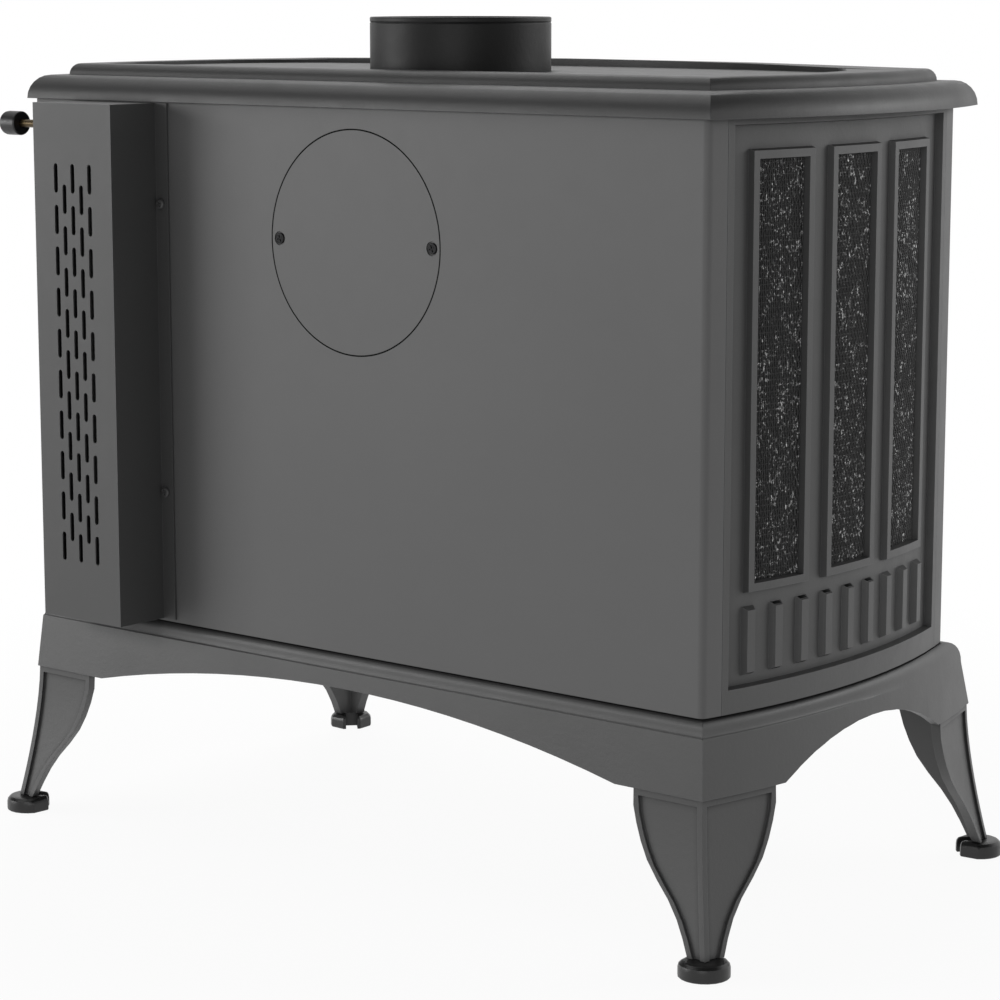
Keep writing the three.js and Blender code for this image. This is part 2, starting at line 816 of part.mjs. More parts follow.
function makeSideCasting() {
  const rear = bowArc(sideRearY);
  const front = bowArc(sideFrontY);
  const plate = bowBlock(front, rear, bodyZ, bodyTopZ, 0, fieldBack);
  const pocket = bowBlock(
    front + frontBorder,
    rear - rearBorder,
    bodyZ + bottomBorder,
    bodyTopZ - topBorder,
    0,
    fieldFront,
    fieldDraft,
  );
  const pocketMouth = bowBlock(
    front + frontBorder,
    rear - rearBorder,
    bodyZ + bottomBorder,
    bodyTopZ - topBorder,
    overrun,
    0,
  );
  const windows = Array.from({ length: windowCount }, (unused, i) => i);
  const ribs = Array.from({ length: ribCount }, (unused, i) => i);
  const faceDepth = fieldFront + frameRise;
  const frames = windows.map((i) => windowBlock(i, -frameDraft, fieldFront - seatGap, faceDepth, frameDraft));
  const bars = ribs.map((i) => {
    const half = ribWidth / 2;
    const z = bodyZ + ribBottom;
    const mid = ribMid(i);
    const low = fieldFront - seatGap;
    return bowBlock(mid - half, mid + half, z, z + ribHeight, low, fieldFront + ribRise, ribDraft, 1);
  });
  const clear = frameFace + frameInnerDraft;
  const mouths = windows.map((i) => windowBlock(i, frameFace, faceDepth + seatGap, fieldFront, frameInnerDraft));
  const holes = windows.map((i) => windowBlock(i, clear, fieldFront + seatGap, fieldBack - overrun, 0));
  const rebates = windows.map((i) => {
    return windowBlock(i, clear - rebateMargin, fieldBack - overrun, fieldBack + rebateDepth, 0);
  });
  const louvres = ribs.slice(firstLouvre, lastLouvre + 1).map((i) => {
    const half = ribWidth / 2 - louvreWall;
    const z = bodyZ + ribBottom + louvreEnd;
    const high = z + ribHeight - 2 * louvreEnd;
    const roof = fieldFront + ribRise - ribSkin;
    return bowBlock(ribMid(i) - half, ribMid(i) + half, z, high, fieldBack - overrun, roof, 0, 1);
  });
  const cuts = union([...mouths, ...holes, ...rebates, ...louvres]);
  const field = plate.subtract(pocket.add(pocketMouth));
  return union([field, ...frames, ...bars]).subtract(cuts);
}

function makeWindowMesh(i) {
  const inset = frameFace + frameInnerDraft - rebateMargin + seatGap;
  const face = fieldBack + rebateDepth - seatGap;
  return windowBlock(i, inset, face, face - meshWall, 0);
}

function makeTopPlate() {
  const lower = quarterRound(0, topZ, lowerRoundWidth, lowerTierHeight, tierSteps);
  const upper = quarterRound(-upperTierInset, ledgeZ, upperRoundWidth, upperTierHeight, tierSteps);
  const plate = stack([...lower, ...upper].map(([off, z]) => planRing(topPlan, off, z)));
  const underside = stack([topZ - overrun, recessZ - topWall].map((z) => planRing(topPlan, -topRimWidth, z)));
  const recess = new THREE.Shape();
  recess.moveTo(-recessRearHalfWidth, recessRearY);
  recess.quadraticCurveTo(-recessHalfWidth, (recessRearY + recessShoulderY) / 2, -recessHalfWidth, recessShoulderY);
  recess.quadraticCurveTo(
    -recessHalfWidth,
    (recessShoulderY + 2 * recessFrontY) / 3,
    -recessFrontHalfWidth,
    recessFrontY,
  );
  recess.quadraticCurveTo(0, recessFrontY - 2 * recessFrontBow, recessFrontHalfWidth, recessFrontY);
  recess.quadraticCurveTo(
    recessHalfWidth,
    (recessShoulderY + 2 * recessFrontY) / 3,
    recessHalfWidth,
    recessShoulderY,
  );
  recess.quadraticCurveTo(recessHalfWidth, (recessRearY + recessShoulderY) / 2, recessRearHalfWidth, recessRearY);
  const pocket = prism(recess, recessDepth + frontCrown + overrun, 6);
  pocket.translate(0, 0, recessZ);
  const hole = bar(
    flueOuterRadius + seatGap,
    [flueX, flueY, topZ - overrun],
    [flueX, flueY, rimZ + overrun],
    flueSteps,
  );
  const crownDepth = recessFrontY - topFrontY - rimInset;
  const crown = frontPrism(archShape(0, crownHalfSpan, frontCrown, rimZ), recessFrontY, crownDepth, 8);
  return plate.add(crown).subtract(underside).subtract(solid(pocket)).subtract(hole);
}

function makeFlueCollar() {
  const bottom = bodyTopZ + seatGap;
  const top = rimZ + flueHeight;
  const inner = flueOuterRadius - flueWall;
  const profile = [
    [inner, bottom],
    [flueOuterRadius + flueFlange, bottom],
    [flueOuterRadius + flueFlange, bottom + flueFlangeWall],
    [flueOuterRadius, bottom + flueFlangeWall],
    [flueOuterRadius, top - flueLip - flueGroove],
    [flueOuterRadius - flueGroove, top - flueLip],
    [flueOuterRadius, top - flueLip + flueGroove],
    [flueOuterRadius, top - flueGroove],
    [flueOuterRadius - flueGroove, top],
    [inner, top],
    [inner, bottom],
  ];
  const turnedCollar = turned(profile, [0, 0, 0], [0, 0, 1], flueSteps);
  return turnedCollar.translate([flueX, flueY, 0]);
}

// The rear panel: a sheet whose ends fold round to meet the side castings
function makeRearPanel() {
  const endY = sideRearY + seatGap;
  const endX = planX(bodyPlan, 0, endY);
  const cornerX = planX(bodyPlan, 0, 0);
  const lean = new THREE.Vector2(cornerX - endX, -endY).normalize();
  const inward = new THREE.Vector2(lean.y, -lean.x).multiplyScalar(panelWall);
  const bendY = -panelBend * lean.y;
  const bendX = cornerX - panelBend * lean.x;
  const innerX = cornerX + panelWall;
  const shape = new THREE.Shape();
  shape.moveTo(endX, endY);
  shape.lineTo(bendX, bendY);
  shape.quadraticCurveTo(cornerX, 0, cornerX + panelBend, 0);
  shape.lineTo(-cornerX - panelBend, 0);
  shape.quadraticCurveTo(-cornerX, 0, -bendX, bendY);
  shape.lineTo(-endX, endY);
  shape.lineTo(-endX - inward.x, endY + inward.y);
  shape.lineTo(-innerX, -panelWall);
  shape.lineTo(innerX, -panelWall);
  shape.lineTo(endX + inward.x, endY + inward.y);
  const sheet = prism(shape, bodyHeight, 4);
  sheet.translate(0, 0, bodyZ);
  const reach = panelWall + overrun;
  const coverHole = bar(coverRadius + coverGap, [flueX, overrun, coverZ], [flueX, -reach, coverZ], flueSteps);
  const screwHoles = ventScrewPlaces().map(([x, z]) => {
    return bar(screwRadius + seatGap, [x, overrun, z], [x, -reach, z], screwSteps);
  });
  return solid(sheet).subtract(union([coverHole, portCut(overrun, -reach), ...screwHoles]));
}

function makeFlueCover() {
  const disc = bar(coverRadius, [flueX, -panelWall, coverZ], [flueX, 0, coverZ], flueSteps);
  const cuts = coverScrewPlaces().flatMap(([x, z]) => [
    bar(coverDimpleRadius, [x, -coverDimpleDepth, z], [x, overrun, z], screwSteps),
    bar(screwRadius + seatGap, [x, -panelWall - overrun, z], [x, overrun, z], screwSteps),
  ]);
  return disc.subtract(union(cuts));
}

function makeCoverRing() {
  const faceY = -panelWall - seatGap;
  const backY = faceY - ringWall;
  const outer = bar(coverRadius + ringMargin, [flueX, backY, coverZ], [flueX, faceY, coverZ], flueSteps);
  const inner = coverRadius + ringMargin - ringWidth;
  const bore = bar(inner, [flueX, backY - overrun, coverZ], [flueX, overrun, coverZ], flueSteps);
  const holes = coverScrewPlaces().map(([x, z]) => {
    return bar(screwRadius + seatGap, [x, backY - overrun, z], [x, overrun, z], screwSteps);
  });
  return outer.subtract(union([bore, ...holes]));
}

function coverScrewPlaces() {
  return [[flueX - coverScrewReach, coverZ], [flueX + coverScrewReach, coverZ]];
}
function ventScrewPlaces() {
  return ventScrewHeights.map((height) => [ventInnerX - ventScrewInset, ventZ + height]);
}

function makeScrew(headY, headHeight) {
  const profile = [
    [0, -screwLength],
    [screwRadius, -screwLength],
    [screwRadius, 0],
    [screwHeadRadius, 0],
    [screwHeadRadius, headHeight / 2],
    [screwHeadRadius - headHeight / 2, headHeight],
    [0, headHeight],
  ];
  return turned(profile, [0, headY, 0], [0, 1, 0], screwSteps);
}

// The port that the damper covers, cut from one depth to another
function portCut(nearY, farY) {
  const x = ventInnerX + ventWall + damperInset + portMargin;
  const top = rodZ - damperTop - portMargin;
  const width = damperWidth - 2 * portMargin;
  const height = damperHeight - 2 * portMargin;
  return box(x, x + width, farY, nearY, top - height, top);
}
function inletCut(nearY, farY) {
  const x = ventInnerX + ventWall + damperInset + portMargin;
  const width = damperWidth - 2 * portMargin;
  const low = bodyZ + inletBottom;
  return box(x, x + width, farY, nearY, low, low + inletHeight);
}

function slotPath(x, z) {
  const half = slotWidth / 2;
  const reach = slotLength / 2 - half;
  const path = new THREE.Path();
  path.absarc(x, z + reach, half, 0, Math.PI, false);
  path.absarc(x, z - reach, half, Math.PI, Math.PI * 2, false);
  return path;
}

// The vented box: a folded sheet with five staggered columns of slots
function makeVentBox() {
  const midX = (ventInnerX + ventOuterX) / 2;
  const midZ = ventZ + ventHeight / 2;
  const face = rectangle(ventInnerX, ventOuterX, ventZ, ventTopZ);
  for (let column = 0; column < slotColumns; column += 1) {
    const rows = slotRows - (column % 2);
    const x = midX + (column - (slotColumns - 1) / 2) * slotColumnPitch;
    for (let row = 0; row < rows; row += 1) {
      face.holes.push(slotPath(x, midZ + (row - (rows - 1) / 2) * slotPitch));
    }
  }
  const front = frontPrism(face, ventDepth, ventWall, 2);
  const nearY = seatGap;
  const coverY = ventDepth - ventWall;
  const innerSide = box(ventInnerX, ventInnerX + ventWall, nearY, coverY + ventWall / 2, ventZ, ventTopZ);
  const outerSide = box(ventOuterX - ventWall, ventOuterX, nearY, coverY + ventWall / 2, ventZ, ventTopZ);
  const floor = box(ventInnerX, ventOuterX, nearY, coverY + ventWall / 2, ventZ, ventZ + ventWall);
  const lid = box(ventInnerX, ventOuterX, nearY, coverY + ventWall / 2, ventTopZ - ventWall, ventTopZ);
  const innerFlange = box(
    ventInnerX - ventFlange,
    ventInnerX + ventWall,
    nearY,
    nearY + ventWall,
    ventZ,
    ventTopZ,
  );
  const outerFlange = box(
    ventOuterX - ventWall,
    ventOuterX + ventFlange,
    nearY,
    nearY + ventWall,
    ventZ,
    ventTopZ,
  );
  const rodHole = bar(
    bushRadius + seatGap,
    [ventOuterX - ventWall - overrun, rodY, rodZ],
    [ventOuterX + overrun, rodY, rodZ],
    screwSteps,
  );
  const screwHoles = ventScrewPlaces().map(([x, z]) => {
    return bar(screwRadius + seatGap, [x, 0, z], [x, ventWall + overrun, z], screwSteps);
  });
  const cuts = union([rodHole, ...screwHoles]);
  return union([front, innerSide, outerSide, floor, lid, innerFlange, outerFlange]).subtract(cuts);
}

function makeRodBush() {
  const bore = rodRadius + runGap;
  const profile = [
    [bore, -ventWall - bushTail],
    [bushRadius, -ventWall - bushTail],
    [bushRadius, seatGap],
    [bushFlange, seatGap],
    [bushFlange, seatGap + bushFlangeWall],
    [bore, seatGap + bushFlangeWall],
    [bore, -ventWall - bushTail],
  ];
  return turned(profile, [ventOuterX, rodY, rodZ], [1, 0, 0], gripSteps);
}

function makeRodBracket() {
  const half = bracketHeight / 2;
  const upright = box(
    bracketX,
    bracketX + bracketWall,
    seatGap,
    rodY + bracketReach,
    rodZ - half,
    rodZ + half - bracketWall,
  );
  const foot = box(
    bracketX,
    bracketX + bracketFoot,
    seatGap,
    seatGap + bracketWall,
    rodZ - half,
    rodZ + half - bracketWall,
  );
  const hole = bar(
    rodRadius + runGap,
    [bracketX - overrun, rodY, rodZ],
    [bracketX + bracketWall + overrun, rodY, rodZ],
    gripSteps,
  );
  return upright.add(foot).subtract(hole);
}

function makeAirRod() {
  const start = ventInnerX + ventWall + damperInset / 2;
  const end = ventOuterX + rodReach;
  return bar(rodRadius, [start, rodY, rodZ], [end, rodY, rodZ], gripSteps);
}

function makeKnob() {
  const bore = rodRadius + seatGap;
  const cheek = knobLength - knobRound;
  const round = Array.from({ length: 4 }, (unused, i) => {
    const angle = (i / 4) * (Math.PI / 2);
    const radius = knobRadius - knobRound * (1 - Math.cos(angle));
    return [radius, cheek + knobRound * Math.sin(angle)];
  });
  const profile = [
    [0, knobBore],
    [bore, knobBore],
    [bore, 0],
    [knobRadius - knobEdge, 0],
    [knobRadius, knobEdge],
    ...round,
    [knobRadius - knobRound, knobLength],
    [0, knobLength],
  ];
  const startX = ventOuterX + rodReach - knobBore + seatGap;
  return turned(profile, [startX, rodY, rodZ], [1, 0, 0], 24);
}

function makeDamper() {
  const x = ventInnerX + ventWall + damperInset;
  const top = rodZ - damperTop;
  const plate = box(x, x + damperWidth, seatGap, seatGap + damperWall, top - damperHeight, top);
  const arm = box(
    x,
    x + damperWall,
    seatGap,
    rodY + damperArmReach,
    top - damperArmReach,
    rodZ + damperArmReach,
  );
  const hole = bar(
    rodRadius + seatGap,
    [x - overrun, rodY, rodZ],
    [x + damperWall + overrun, rodY, rodZ],
    gripSteps,
  );
  return plate.add(arm).subtract(hole);
}

function makeAirDuct() {
  const x = ventInnerX + ventWall + damperInset + portMargin - ductMargin;
  const width = damperWidth - 2 * portMargin + 2 * ductMargin;
  const low = bodyZ + ductBottom;
  const high = rodZ - damperTop + ductMargin;
  const nearY = -panelWall - seatGap;
  const farY = fireboxRearY + seatGap;
  const outer = box(x, x + width, farY, nearY, low, high);
  const hollow = box(
    x + ductWall,
    x + width - ductWall,
    farY - overrun,
    nearY - ductWall,
    low + ductWall,
    high - ductWall,
  );
  return outer.subtract(hollow).subtract(portCut(overrun, nearY - ductWall - overrun));
}

function makeFirebox() {
  const outer = box(-fireboxHalfWidth, fireboxHalfWidth, fireboxFrontY, fireboxRearY, bodyZ, bodyTopZ);
  const hollow = box(
    -innerHalfWidth,
    innerHalfWidth,
    fireboxFrontY - overrun,
    fireboxRearY - fireboxWall,
    innerFloorZ,
    bodyTopZ - fireboxWall,
  );
  const flue = bar(
    flueBore,
    [flueX, flueY, bodyTopZ - fireboxWall - overrun],
    [flueX, flueY, bodyTopZ + overrun],
    flueSteps,
  );
  const inlet = inletCut(fireboxRearY + overrun, fireboxRearY - fireboxWall - overrun);
  return outer.subtract(hollow).subtract(flue).subtract(inlet);
}

function liningFrontY() {
  return guardY + guardWall / 2 + seatGap;
}
function makeFloorBrick() {
  const rearY = fireboxRearY - fireboxWall - seatGap;
  return box(
    -innerHalfWidth + seatGap,
    innerHalfWidth - seatGap,
    guardY - guardWall,
    rearY,
    innerFloorZ + seatGap,
    innerFloorZ + brickFloor,
  );
}
function liningZ() {
  return innerFloorZ + brickFloor + seatGap;
}
function makeSideBrick() {
  const rearY = fireboxRearY - fireboxWall - seatGap;
  return box(
    -innerHalfWidth + seatGap,
    -innerHalfWidth + seatGap + brickWall,
    liningFrontY(),
    rearY,
    liningZ(),
    liningZ() + brickHeight,
  );
}
function makeRearBrick() {
  const rearY = fireboxRearY - fireboxWall - seatGap;
  const half = innerHalfWidth - brickWall - 2 * seatGap;
  const slab = box(-half, half, rearY - brickWall, rearY, liningZ(), liningZ() + brickHeight - brickRear);
  return slab.subtract(inletCut(rearY + overrun, rearY - brickWall - overrun));
}
function tubeZ() {
  return liningZ() + brickHeight + tubeGap + tubeRadius;
}
function makeAirTube() {
  const reach = innerHalfWidth - seatGap;
  const profile = [
    [tubeRadius - tubeWall, -reach],
    [tubeRadius, -reach],
    [tubeRadius, reach],
    [tubeRadius - tubeWall, reach],
    [tubeRadius - tubeWall, -reach],
  ];
  return turned(profile, [0, 0, 0], [1, 0, 0], tubeSteps);
}
function makeBaffle() {
  const low = tubeZ() + tubeRadius + seatGap;
  return box(
    -innerHalfWidth + seatGap,
    innerHalfWidth - seatGap,
    baffleFrontY,
    fireboxRearY - fireboxWall - seatGap,
    low,
    low + baffleWall,
  );
}
function makeGuard() {
  const foot = innerFloorZ + brickFloor + seatGap;
  return box(
    -guardHalfWidth,
    guardHalfWidth,
    guardY - guardWall / 2,
    guardY + guardWall / 2,
    foot,
    foot + guardHeight,
  );
}

// The front casting: a ribbed plate with the door opening and its hinge lugs
function makeFrontCasting() {
  const rearY = sideFrontY - seatGap;
  const outline = new THREE.Shape();
  const edge = [rearY, (rearY + bodyFrontY) / 2, bodyFrontY].map((y) => [planX(bodyPlan, 0, y), y]);
  outline.moveTo(...edge[0]);
  edge.slice(1).forEach(([x, y]) => outline.lineTo(x, y));
  edge.reverse().forEach(([x, y]) => outline.lineTo(-x, y));
  const plate = prism(outline, bodyHeight, 1);
  plate.translate(0, 0, bodyZ);
  const pocketX = -planX(bodyPlan, 0, bodyFrontY) - frontReturn;
  const pocket = box(
    -pocketX,
    pocketX,
    bodyFrontY + frontWall,
    rearY + overrun,
    bodyZ - overrun,
    bodyTopZ + overrun,
  );
  const opening = box(
    -doorOpeningHalfWidth,
    doorOpeningHalfWidth,
    bodyFrontY - overrun,
    rearY,
    bodyZ + doorOpeningBottom,
    bodyZ + doorOpeningTop,
  );
  const fields = [[-frontPanelOuterX, -frontPanelInnerX], [frontPanelInnerX, frontPanelOuterX]].map(([x0, x1]) => {
    return slopedBlock(
      x0,
      x1,
      bodyZ + frontPanelMargin,
      bodyTopZ - frontPanelMargin,
      bodyFrontY - seatGap,
      bodyFrontY + frontPanelDepth,
      frontPanelDraft,
    );
  });
  const lugs = hingeHeights.flatMap((height) => {
    const z = bodyZ + height;
    return [
      bar(hingeRadius, [hingeX, hingeY, z], [hingeX, hingeY, z + hingeLug], hingeSteps),
      box(hingeX - hingeWeb / 2, hingeX + hingeWeb / 2, hingeY, bodyFrontY + seatGap, z, z + hingeLug),
    ];
  });
  const pinHoles = hingeHeights.map((height) => {
    const z = bodyZ + height;
    const reach = z + hingeLug + overrun;
    return bar(hingePinRadius + seatGap, [hingeX, hingeY, z - overrun], [hingeX, hingeY, reach], hingeSteps);
  });
  const body = solid(plate).subtract(pocket).subtract(opening).subtract(union(fields));
  return union([body, ...lugs]).subtract(union(pinHoles));
}

function makeHingePin() {
  const top = hingeLug + hingeKnuckle + hingePinTip;
  const profile = [
    [0, 0],
    [hingePinRadius - hingePinChamfer, 0],
    [hingePinRadius, hingePinChamfer],
    [hingePinRadius, top - hingePinChamfer],
    [hingePinRadius - hingePinChamfer, top],
    [0, top],
  ];
  return turned(profile, [0, 0, 0], [0, 0, 1], hingeSteps);
}

function makeAshLip() {
  const nearY = bodyFrontY - seatGap;
  const z = bodyZ + lipHeight;
  const shelf = box(-lipHalfWidth, lipHalfWidth, nearY - lipReach, nearY, z, z + lipWall);
  const edge = box(
    -lipHalfWidth,
    lipHalfWidth,
    nearY - lipReach,
    nearY - lipReach + lipWall,
    z,
    z + lipWall + lipEdge,
  );
  const wall = box(-lipHalfWidth, lipHalfWidth, nearY - lipWall, nearY, z - lipEdge, z + lipWall);
  return union([shelf, edge, wall]);
}

// The arched outline of the door's window, grown by margin
function windowShape(margin) {
  const half = glassHalfWidth + margin;
  const low = bodyZ + glassBottom - margin;
  const spring = bodyZ + glassSpring;
  const rise = glassRise + margin;
  const radius = (half ** 2 + rise ** 2) / (2 * rise);
  const angle = Math.asin(half / radius);
  const shape = new THREE.Shape();
  shape.moveTo(-half, low);
  shape.lineTo(half, low);
  shape.absarc(0, spring + rise - radius, radius, Math.PI / 2 - angle, Math.PI / 2 + angle, false);
  return shape;
}

function makeDoorFrame() {
  const slab = slopedBlock(
    -doorHalfWidth,
    doorHalfWidth,
    doorBottomZ,
    doorTopZ,
    doorFrontY + doorEdgeDraft,
    doorFrontY,
    doorEdgeDraft,
  );
  const back = box(
    -doorHalfWidth,
    doorHalfWidth,
    doorFrontY + doorEdgeDraft,
    doorBackY,
    doorBottomZ,
    doorTopZ,
  );
  const moulding = frontPrism(
    windowShape(mouldingWidth),
    doorFrontY + seatGap,
    mouldingRise + seatGap,
    glassSteps,
  );
  const depth = doorWall + mouldingRise + 2 * overrun;
  const opening = frontPrism(windowShape(0), doorBackY + overrun, depth, glassSteps);
  const step = frontPrism(windowShape(mouldingDraft), doorFrontY, mouldingRise + overrun, glassSteps);
  const rebate = frontPrism(windowShape(glassMargin), doorBackY + overrun, glassRebate + overrun, glassSteps);
  const channel = gasketRing(doorBackY + overrun, doorBackY - gasketChannel, seatGap);
  const bore = bar(
    shaftRadius + handleBushWall + seatGap,
    [shaftX, doorBackY + overrun, shaftZ],
    [shaftX, doorFrontY - overrun, shaftZ],
    gripSteps,
  );
  const knuckles = hingeHeights.flatMap((height) => {
    const z = bodyZ + height + hingeLug + seatGap;
    return [
      bar(hingeRadius, [hingeX, hingeY, z], [hingeX, hingeY, z + hingeKnuckle], hingeSteps),
      box(hingeX, -doorHalfWidth + overrun, hingeY - hingeWeb / 2, hingeY + hingeWeb / 2, z, z + hingeKnuckle),
    ];
  });
  const pinHoles = hingeHeights.map((height) => {
    const z = bodyZ + height + hingeLug - overrun;
    const reach = z + hingeKnuckle + 2 * overrun + seatGap;
    return bar(hingePinRadius + runGap, [hingeX, hingeY, z], [hingeX, hingeY, reach], hingeSteps);
  });
  const cuts = union([opening, step, rebate, channel, bore, ...pinHoles]);
  return union([slab, back, moulding, ...knuckles]).subtract(cuts);
}

// A rectangular ring that follows the door's edge, grown by margin on each side
function gasketRing(nearY, farY, margin) {
  const outerX = doorHalfWidth - gasketInset + margin;
  const innerX = doorHalfWidth - gasketInset - gasketWidth - margin;
  const low = doorBottomZ + gasketInset;
  const high = doorTopZ - gasketInset;
  const outer = box(-outerX, outerX, farY, nearY, low - margin, high + margin);
  const inset = gasketWidth + margin;
  const inner = box(-innerX, innerX, farY - overrun, nearY + overrun, low + inset, high - inset);
  return outer.subtract(inner);
}

function makeDoorGasket() {
  return gasketRing(bodyFrontY - seatGap, doorBackY - gasketChannel + seatGap, 0);
}

function glassPocketY() {
  return doorBackY - glassRebate;
}
function makeGlassGasket() {
  const farY = glassPocketY() + seatGap;
  const outer = frontPrism(windowShape(glassMargin - seatGap), farY + glassGasketWall, glassGasketWall, glassSteps);
  const inner = frontPrism(
    windowShape(glassMargin - glassGasketWidth),
    farY + glassGasketWall + overrun,
    glassGasketWall + 2 * overrun,
    glassSteps,
  );
  return outer.subtract(inner);
}
function makeGlass() {
  const farY = glassPocketY() + glassGasketWall + 2 * seatGap;
  return frontPrism(windowShape(glassMargin - seatGap), farY + glassWall, glassWall, glassSteps);
}
function makeClip(halfWidth, z0, z1) {
  const farY = doorBackY + seatGap;
  return box(-halfWidth, halfWidth, farY, farY + clipWall, z0, z1);
}
function makeLowerClip() {
  const z = bodyZ + glassBottom - glassMargin + clipOverlap;
  return makeClip(lowerClipHalfWidth, z - clipWidth, z);
}
function makeUpperClip() {
  const z = bodyZ + glassSpring + glassRise + glassMargin - clipOverlap;
  return makeClip(upperClipHalfWidth, z, z + clipWidth);
}

function makeHandleBush() {
  const bore = shaftRadius + runGap;
  const outer = shaftRadius + handleBushWall;
  const profile = [
    [bore, 0],
    [outer, 0],
    [outer, doorWall + handleBushOut],
    [bore, doorWall + handleBushOut],
    [bore, 0],
  ];
  return turned(profile, [shaftX, doorBackY, shaftZ], [0, -1, 0], gripSteps);
}

function camNearY() {
  return bodyFrontY + frontWall + camGap;
}
function armY() {
  return doorFrontY - shaftOut;
}
function makeHandle() {
  const endY = camNearY() + camWall + seatGap + shaftHeadWall;
  const shaft = bar(shaftRadius, [shaftX, armY(), shaftZ], [shaftX, endY, shaftZ], gripSteps);
  const head = bar(
    shaftHead,
    [shaftX, endY - shaftHeadWall, shaftZ],
    [shaftX, endY, shaftZ],
    gripSteps,
  );
  const elbow = new THREE.SphereGeometry(shaftRadius, gripSteps, gripSteps / 2);
  elbow.translate(shaftX, armY(), shaftZ);
  const arm = bar(shaftRadius, [shaftX, armY(), shaftZ], [shaftX + handleArm, armY(), shaftZ], gripSteps);
  return union([shaft, head, solid(elbow), arm]);
}
function makeCam() {
  const near = camNearY();
  const plate = box(
    shaftX - camHalfWidth,
    shaftX + camHalfWidth,
    near,
    near + camWall,
    shaftZ - camHalfWidth,
    shaftZ + camLength,
  );
  const bore = bar(
    shaftRadius + seatGap,
    [shaftX, near - overrun, shaftZ],
    [shaftX, near + camWall + overrun, shaftZ],
    gripSteps,
  );
  return plate.subtract(bore);
}
function makeGrip() {
  const bore = shaftRadius + seatGap;
  const curve = new THREE.SplineCurve(gripWaistShares.map((share, i) => {
    const radius = THREE.MathUtils.lerp(gripEndRadius, gripRadius, gripSwellShares[i]);
    return new THREE.Vector2(radius, share * gripLength);
  }));
  const swell = curve.getPoints(8).map((point) => [point.x, point.y]);
  const profile = [[bore, 0], ...swell, [bore, gripLength], [bore, 0]];
  const startX = shaftX + handleArm - gripLength + seatGap;
  return turned(profile, [startX, armY(), shaftZ], [1, 0, 0], gripSteps);
}

function makeStand() {
  const group = new THREE.Group();
  group.add(piece('base', makeBase(), castFinish));
  [false, true].forEach((front) => {
    const frame = legCorner(front);
    const place = front ? 'front' : 'rear';
    const left = makeLeg(frame);
    group.add(piece(`leg_${place}_left`, left, castFinish));
    group.add(piece(`leg_${place}_right`, mirrored(left), castFinish));
    const centre = legPoint(frame, 1, footInset, footInset);
    [-1, 1].forEach((sign) => {
      const side = sign < 0 ? 'left' : 'right';
      const foot = piece(`foot_${place}_${side}`, makeFoot(), footFinish);
      foot.position.set(-sign * centre.x, centre.y, 0);
      foot.rotation.z = Math.atan2(frame.out.y, sign);
      group.add(foot);
    });
  });
  return group;
}

function makeCasing() {
  const group = new THREE.Group();
  const casting = makeSideCasting();
  group.add(piece('side_casting_left', casting, castFinish));
  group.add(piece('side_casting_right', mirrored(casting), castFinish));
  ['rear', 'middle', 'front'].forEach((place, i) => {
    const mesh = makeWindowMesh(i);
    group.add(piece(`window_mesh_left_${place}`, mesh, meshFinish));
    group.add(piece(`window_mesh_right_${place}`, mirrored(mesh), meshFinish));
  });
  group.add(piece('top_plate', makeTopPlate(), castFinish));
  group.add(piece('flue_collar', makeFlueCollar(), collarFinish));
  group.add(piece('rear_panel', makeRearPanel(), panelFinish));
  group.add(piece('rear_flue_cover', makeFlueCover(), panelFinish));
  group.add(piece('rear_cover_ring', makeCoverRing(), steelFinish));
  coverScrewPlaces().forEach(([x, z], i) => {
    const headY = -coverDimpleDepth + seatGap / 2;
    const screw = piece(`cover_screw_${i + 1}`, makeScrew(headY, coverHeadHeight), screwFinish);
    screw.position.set(x, 0, z);
    group.add(screw);
  });
  group.add(piece('front_casting', makeFrontCasting(), castFinish));
  group.add(piece('ash_lip', makeAshLip(), castFinish));
  hingeHeights.forEach((height, i) => {
    const pin = piece(`hinge_pin_${i + 1}`, makeHingePin(), steelFinish);
    pin.position.set(hingeX, hingeY, bodyZ + height);
    group.add(pin);
  });
  return group;
}

function makeAirControl() {
  const group = new THREE.Group();
  group.add(piece('vent_box', makeVentBox(), panelFinish));
  ventScrewPlaces().forEach(([x, z], i) => {
    const headY = seatGap + ventWall + seatGap;
    const screw = piece(`vent_box_screw_${i + 1}`, makeScrew(headY, screwHeadHeight), screwFinish);
    screw.position.set(x, 0, z);
    group.add(screw);
  });
  group.add(piece('air_rod_bush', makeRodBush(), brassFinish));
  group.add(piece('air_rod_bracket', makeRodBracket(), steelFinish));
  group.add(piece('air_rod', makeAirRod(), brassFinish));
  group.add(piece('air_knob', makeKnob(), knobFinish));
  group.add(piece('air_damper', makeDamper(), steelFinish));
  group.add(piece('air_duct', makeAirDuct(), steelFinish));
  return group;
}

function makeFireChamber() {
  const group = new THREE.Group();
  group.add(piece('firebox', makeFirebox(), steelFinish));
  group.add(piece('brick_floor', makeFloorBrick(), brickFinish));
  const side = makeSideBrick();
  group.add(piece('brick_left', side, brickFinish));
  group.add(piece('brick_right', mirrored(side), brickFinish));
  group.add(piece('brick_rear', makeRearBrick(), brickFinish));
  for (let i = 0; i < tubeCount; i += 1) {
    const tube = piece(`air_tube_${i + 1}`, makeAirTube(), tubeFinish);
    tube.position.set(0, tubeRearY - i * tubePitch, tubeZ());
    group.add(tube);
  }
  group.add(piece('baffle', makeBaffle(), baffleFinish));
  group.add(piece('ember_guard', makeGuard(), castFinish));
  return group;
}

